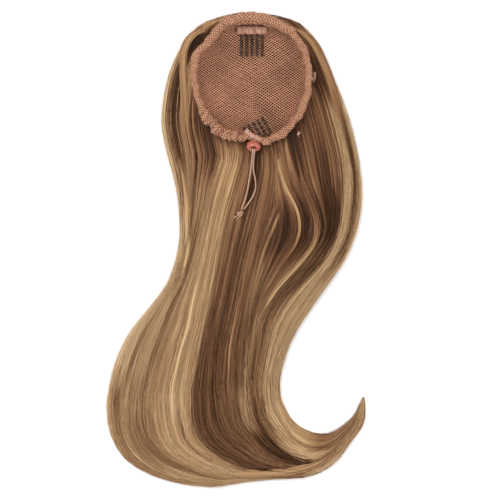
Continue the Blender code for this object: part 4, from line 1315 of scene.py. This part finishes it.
class HAIRPIECE_OT_wisps(HairpieceStep):
    """Adds the under and upper layers of wisps, the locks over them and the crown's wisps"""

    bl_idname = "hairpiece.wisps"
    bl_label = "Wisps"

    def execute(self, context):
        sizes = self.sizes(context)
        finish = hair_material("hair_strands")
        random = np.random.default_rng(7)
        for name, count, layer in (("hair_wisps_under", sizes.wisps, self.under_layer),
                                   ("hair_wisps_over", sizes.over_wisps, self.over_layer)):
            lines = spread_lines(count, random)
            touched, _, leave = way_round_cap(lines, WISP_CLEARANCE)
            add_hair(name, [layer(lines, touched, leave, random)], finish)
        locks = [lock_wisps(lock, LOCK_SEED + LOCK_SEED_STEP * i) for i, lock in enumerate(LOCKS)]
        add_hair("hair_locks", locks, finish)
        lines = np.linspace(0.03, 0.97, CROWN_WISPS)
        touched, enter, _ = way_round_cap(lines, CROWN_CLEARANCE)
        lines, enter = lines[touched], enter[touched]
        first, lift = np.full(len(lines), 0.1), np.full(len(lines), -0.4)
        crown = run_wisps(lines, first, np.maximum(enter, 0.8), 0.05, lift, seed=31,
                          stations=14, tone_spread=0.05)
        add_hair("hair_crown", [crown], finish)
        return {"FINISHED"}

    def under_layer(self, lines, touched, leave, random):
        """Broad wisps from the cap or the crown to the tip, shorter at the left edge."""
        count = len(lines)
        first = np.where(touched, leave + 0.05, random.uniform(0.3, 1.2, count))
        last = LONGEST - np.abs(random.normal(0, 1.5, count))
        last = np.where(lines < 0.1, random.uniform(23, 29, count), last)
        last = np.where(lines > 0.5, np.minimum(last, LONGEST_RIGHT), last)
        lift = random.uniform(-0.9, 0.1, count)
        return run_wisps(lines, first, last, 1.7 / count, lift, seed=11, stations=50,
                         tone_spread=0.07)

    def over_layer(self, lines, touched, leave, random):
        """Narrow wisps over the broad ones, each along a part of the hair."""
        count = len(lines)
        first = np.where(touched, leave + random.uniform(0, 3, count),
                         random.uniform(0.4, 8, count))
        last = np.clip(first + random.uniform(12, 26, count), 18, 29.4)
        lift = random.uniform(-0.2, 0.5, count)
        return run_wisps(lines, first, last, 0.55 / count, lift, seed=23, stations=48,
                         tone_spread=0.09, head_share=0.2, narrow=1.2, wide_limit=5, upper=9,
                         lower=2)


class HAIRPIECE_OT_strands(HairpieceStep):
    """Adds single loose strands over the wisps"""

    bl_idname = "hairpiece.strands"
    bl_label = "Loose strands"

    def execute(self, context):
        random = np.random.default_rng(91)
        count = self.sizes(context).strands
        lines = spread_lines(count, random)
        touched, _, leave = way_round_cap(lines, STRAND_CLEARANCE)
        first = np.where(touched, leave + random.uniform(0.1, 9, count),
                         random.uniform(0.5, 13, count))
        last = np.clip(first + random.uniform(6, 20, count), 4, 29.6)
        lift = random.uniform(0.1, 1.0, count)
        radius = random.uniform(0.1, 0.21, count)
        wander = np.abs(random.normal(0, 1.6, count))
        strands = strand_rings(lines, first, last, lift, radius, wander, seed=92)
        add_hair("hair_loose_strands", [strands], hair_material("hair_loose"))
        return {"FINISHED"}


class HAIRPIECE_OT_net(HairpieceStep):
    """Adds the net dome as two crossing families of threads"""

    bl_idname = "hairpiece.net"
    bl_label = "Net"

    def execute(self, context):
        sizes = self.sizes(context)
        finish = thread_material("net_thread", *self.colours(context, "net", "cloth_dark"))
        pitch, radius = sizes.net_pitch / MM, sizes.thread_radius / MM
        parts = [net_threads(NET_ANGLE, -NET_ANGLE, pitch, radius, seed=50, over=True),
                 net_threads(-NET_ANGLE, NET_ANGLE, pitch, radius, seed=51, over=False)]
        rings, shades = (np.concatenate(part) for part in zip(*parts))
        add_object("cap_net_threads", rings, finish, "net", "cap_net", shade=shades)
        return {"FINISHED"}


class HAIRPIECE_OT_casing(HairpieceStep):
    """Adds the ruched casing round the mouth and the frayed thread ends beside it"""

    bl_idname = "hairpiece.casing"
    bl_label = "Casing"

    def execute(self, context):
        finish = weave_material("casing_cloth", *self.colours(context, "casing", "cloth_dark"),
                                CASING_PITCH)
        rings, weave, depth = casing_rings()
        add_object("casing_ruched", rings, finish, "casing", "casing", closed_path=True,
                   weave=weave, depth=depth)
        tufts = thread_tufts(TUFT_PLACES, seed=17)
        pale = thread_material("loose_thread", *self.colours(context, "cord", "casing"))
        add_object("loose_thread_ends", tufts, pale, "casing",
                   shade=np.full(tufts.shape[:-1], 0.6))
        return {"FINISHED"}


class HAIRPIECE_OT_combs(HairpieceStep):
    """Adds both wire combs, each wound with thin wire, the tapes that hold them and the hem"""

    bl_idname = "hairpiece.combs"
    bl_label = "Combs"

    def execute(self, context):
        wire = wire_material("comb_wire", *self.colours(context, "wire"))
        for name, comb in COMBS.items():
            path = comb_path(*comb)
            wound = winding(path, WIRE_RADIUS + WOUND_GAP, WOUND_PITCH)
            rings = np.stack([round_rings(path, WIRE_RADIUS, sides=5),
                              round_rings(wound, WOUND_RADIUS, sides=5)])
            add_object(name + "_wire", rings, wire, "wire", name)
        tape, casing, dark = self.colours(context, "tape", "casing", "cloth_dark")
        cloth = weave_material("tape_cloth", tape, dark, TAPE_PITCH)
        hem = weave_material("hem_cloth", casing, dark, CASING_PITCH)
        x, y = TAPE_MIDDLE
        ends = np.linspace(-0.5, 0.5, 7) * TAPE_WIDTH
        upper_tape = [(x + a, y, on_net(x + a, y, TAPE_LIFT)) for a in ends]
        self.strip("comb_tape_fold", upper_tape, cloth, "tape", "comb_tape",
                   width=TAPE_DEPTH, height=TAPE_HEIGHT, stations=90)
        self.strip("lower_tape_fold", LOWER_TAPE, cloth, "tape", width=4.2, height=1.1,
                   stations=50)
        self.strip("hem_fold", HEM, hem, "casing", width=3.4, height=1.6, stations=90)
        return {"FINISHED"}

    def strip(self, name, middles, cloth, slot, *nodes, width, height, stations):
        """Adds one folded strip. The length of its name is the seed of its wrinkles."""
        rings, weave, depth = strip_rings(middles, width, height, stations, len(name))
        add_object(name, rings, cloth, slot, *nodes, weave=weave, depth=depth)


class HAIRPIECE_OT_stop(HairpieceStep):
    """Adds the coral barrel stop, turned about its bore"""

    bl_idname = "hairpiece.stop"
    bl_label = "Cord stop"

    def execute(self, context):
        finish = stop_material("stop_plastic", *self.colours(context, "stop"))
        profile = smooth_route(STOP_PROFILE, 48)
        turn = np.linspace(0, TAU, 72, endpoint=False)[:, None]
        axis = np.array((0, -math.cos(STOP_TILT), math.sin(STOP_TILT)))
        side, other = np.array((STOP_OVAL, 0, 0)), np.cross(axis, (1.0, 0, 0))
        spots = (STOP_CENTRE + profile[None, :, 1:2] * axis
                 + (profile[:, 0] * np.cos(turn))[..., None] * side
                 + (profile[:, 0] * np.sin(turn))[..., None] * other)
        add_object("cord_stop_barrel", spots[None], finish, "stop", "cord_stop", closed_path=True)
        return {"FINISHED"}


class HAIRPIECE_OT_drawstring(HairpieceStep):
    """Adds the drawstring's two free ends and their knot, and finishes the hidden loop"""

    bl_idname = "hairpiece.drawstring"
    bl_label = "Drawstring"

    def execute(self, context):
        finish = thread_material("cord_twist", *self.colours(context, "cord", "cloth_dark"))
        diameter = self.sizes(context).cord_diameter
        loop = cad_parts["drawstring_loop"].data
        loop.materials.clear()
        loop.materials.append(finish)
        knot = self.knot(finish)
        for side, route in DRAWSTRING.items():
            path = smooth_route(route, CORD_STATIONS)
            radius = diameter / MM / 2 * CORD_FULLNESS
            rings = round_rings(path[None], radius, sides=12, twist=CORD_TWIST,
                                plies=CORD_PLIES, ply_depth=0.3)
            made = add_object("drawstring_cord_" + side, rings, finish, "cord",
                              "drawstring_end_" + side, shade=np.full(rings.shape[:-1], 0.5))
        return {"FINISHED"}

    def knot(self, finish):
        """The knot: a cord on a trefoil, squeezed to the knot's size, with frayed tails."""
        t = np.linspace(0, TAU, KNOT_STATIONS)
        trefoil = np.stack([np.sin(t) + 2 * np.sin(2 * t), np.cos(t) - 2 * np.cos(2 * t),
                            -np.sin(3 * t)], -1)
        path = KNOT_MIDDLE + trefoil * KNOT_SIZE
        ball = round_rings(path[None], KNOT_CORD_RADIUS, sides=10, twist=CORD_TWIST,
                           plies=CORD_PLIES, ply_depth=0.4)
        random = np.random.default_rng(5)
        spread = np.linspace(0.15, 1, TAIL_STATIONS)[:, None] ** 1.5
        fibres = []
        for tail in KNOT_TAILS:
            aside = random.normal(0, 0.42, (TAIL_FIBRES, 1, 3)) * spread
            bundle = smooth_route(tail, TAIL_STATIONS) + aside
            bundle = bundle + random.normal(0, 0.12, (TAIL_FIBRES, 1, 3))
            radius = 0.2 * np.linspace(1.2, 0.5, TAIL_STATIONS)
            fibres.append(round_rings(bundle, radius, sides=10))
        fibres = np.concatenate(fibres)
        add_object("drawstring_tails", fibres, finish, "cord",
                   shade=np.full(fibres.shape[:-1], 0.5))
        return add_object("drawstring_knot_tied", ball, finish, "cord", "drawstring_knot",
                          shade=np.full(ball.shape[:-1], 0.5))


STEPS = (HAIRPIECE_OT_stage, HAIRPIECE_OT_drawstring, HAIRPIECE_OT_core, HAIRPIECE_OT_wisps,
         HAIRPIECE_OT_strands, HAIRPIECE_OT_net, HAIRPIECE_OT_casing, HAIRPIECE_OT_combs,
         HAIRPIECE_OT_stop)


class HAIRPIECE_PT_panel(Panel):
    """Lists the sizes, the colours and the steps."""

    bl_label = "Hairpiece"
    bl_idname = "HAIRPIECE_PT_panel"
    bl_space_type = "VIEW_3D"
    bl_region_type = "UI"
    bl_category = "Hairpiece"

    def draw(self, context):
        for group in (context.scene.hairpiece_sizes, context.scene.hairpiece_colours):
            for key in group.__annotations__:
                self.layout.prop(group, key)
        for step in STEPS:
            self.layout.operator(step.bl_idname)


CLASSES = (HairpieceSizes, HairpieceColours, *STEPS, HAIRPIECE_PT_panel)


def register():
    """Adds the classes and the scene's settings."""
    for one in CLASSES:
        bpy.utils.register_class(one)
    bpy.types.Scene.hairpiece_sizes = PointerProperty(type=HairpieceSizes)
    bpy.types.Scene.hairpiece_colours = PointerProperty(type=HairpieceColours)


def unregister():
    """Removes the scene's settings and the classes."""
    del bpy.types.Scene.hairpiece_colours
    del bpy.types.Scene.hairpiece_sizes
    for one in reversed(CLASSES):
        bpy.utils.unregister_class(one)


def main():
    """Dresses the hairpiece step by step."""
    register()
    for step in STEPS:
        group, name = step.bl_idname.split(".")
        getattr(getattr(bpy.ops, group), name)()


if __name__ == "__main__":
    main()
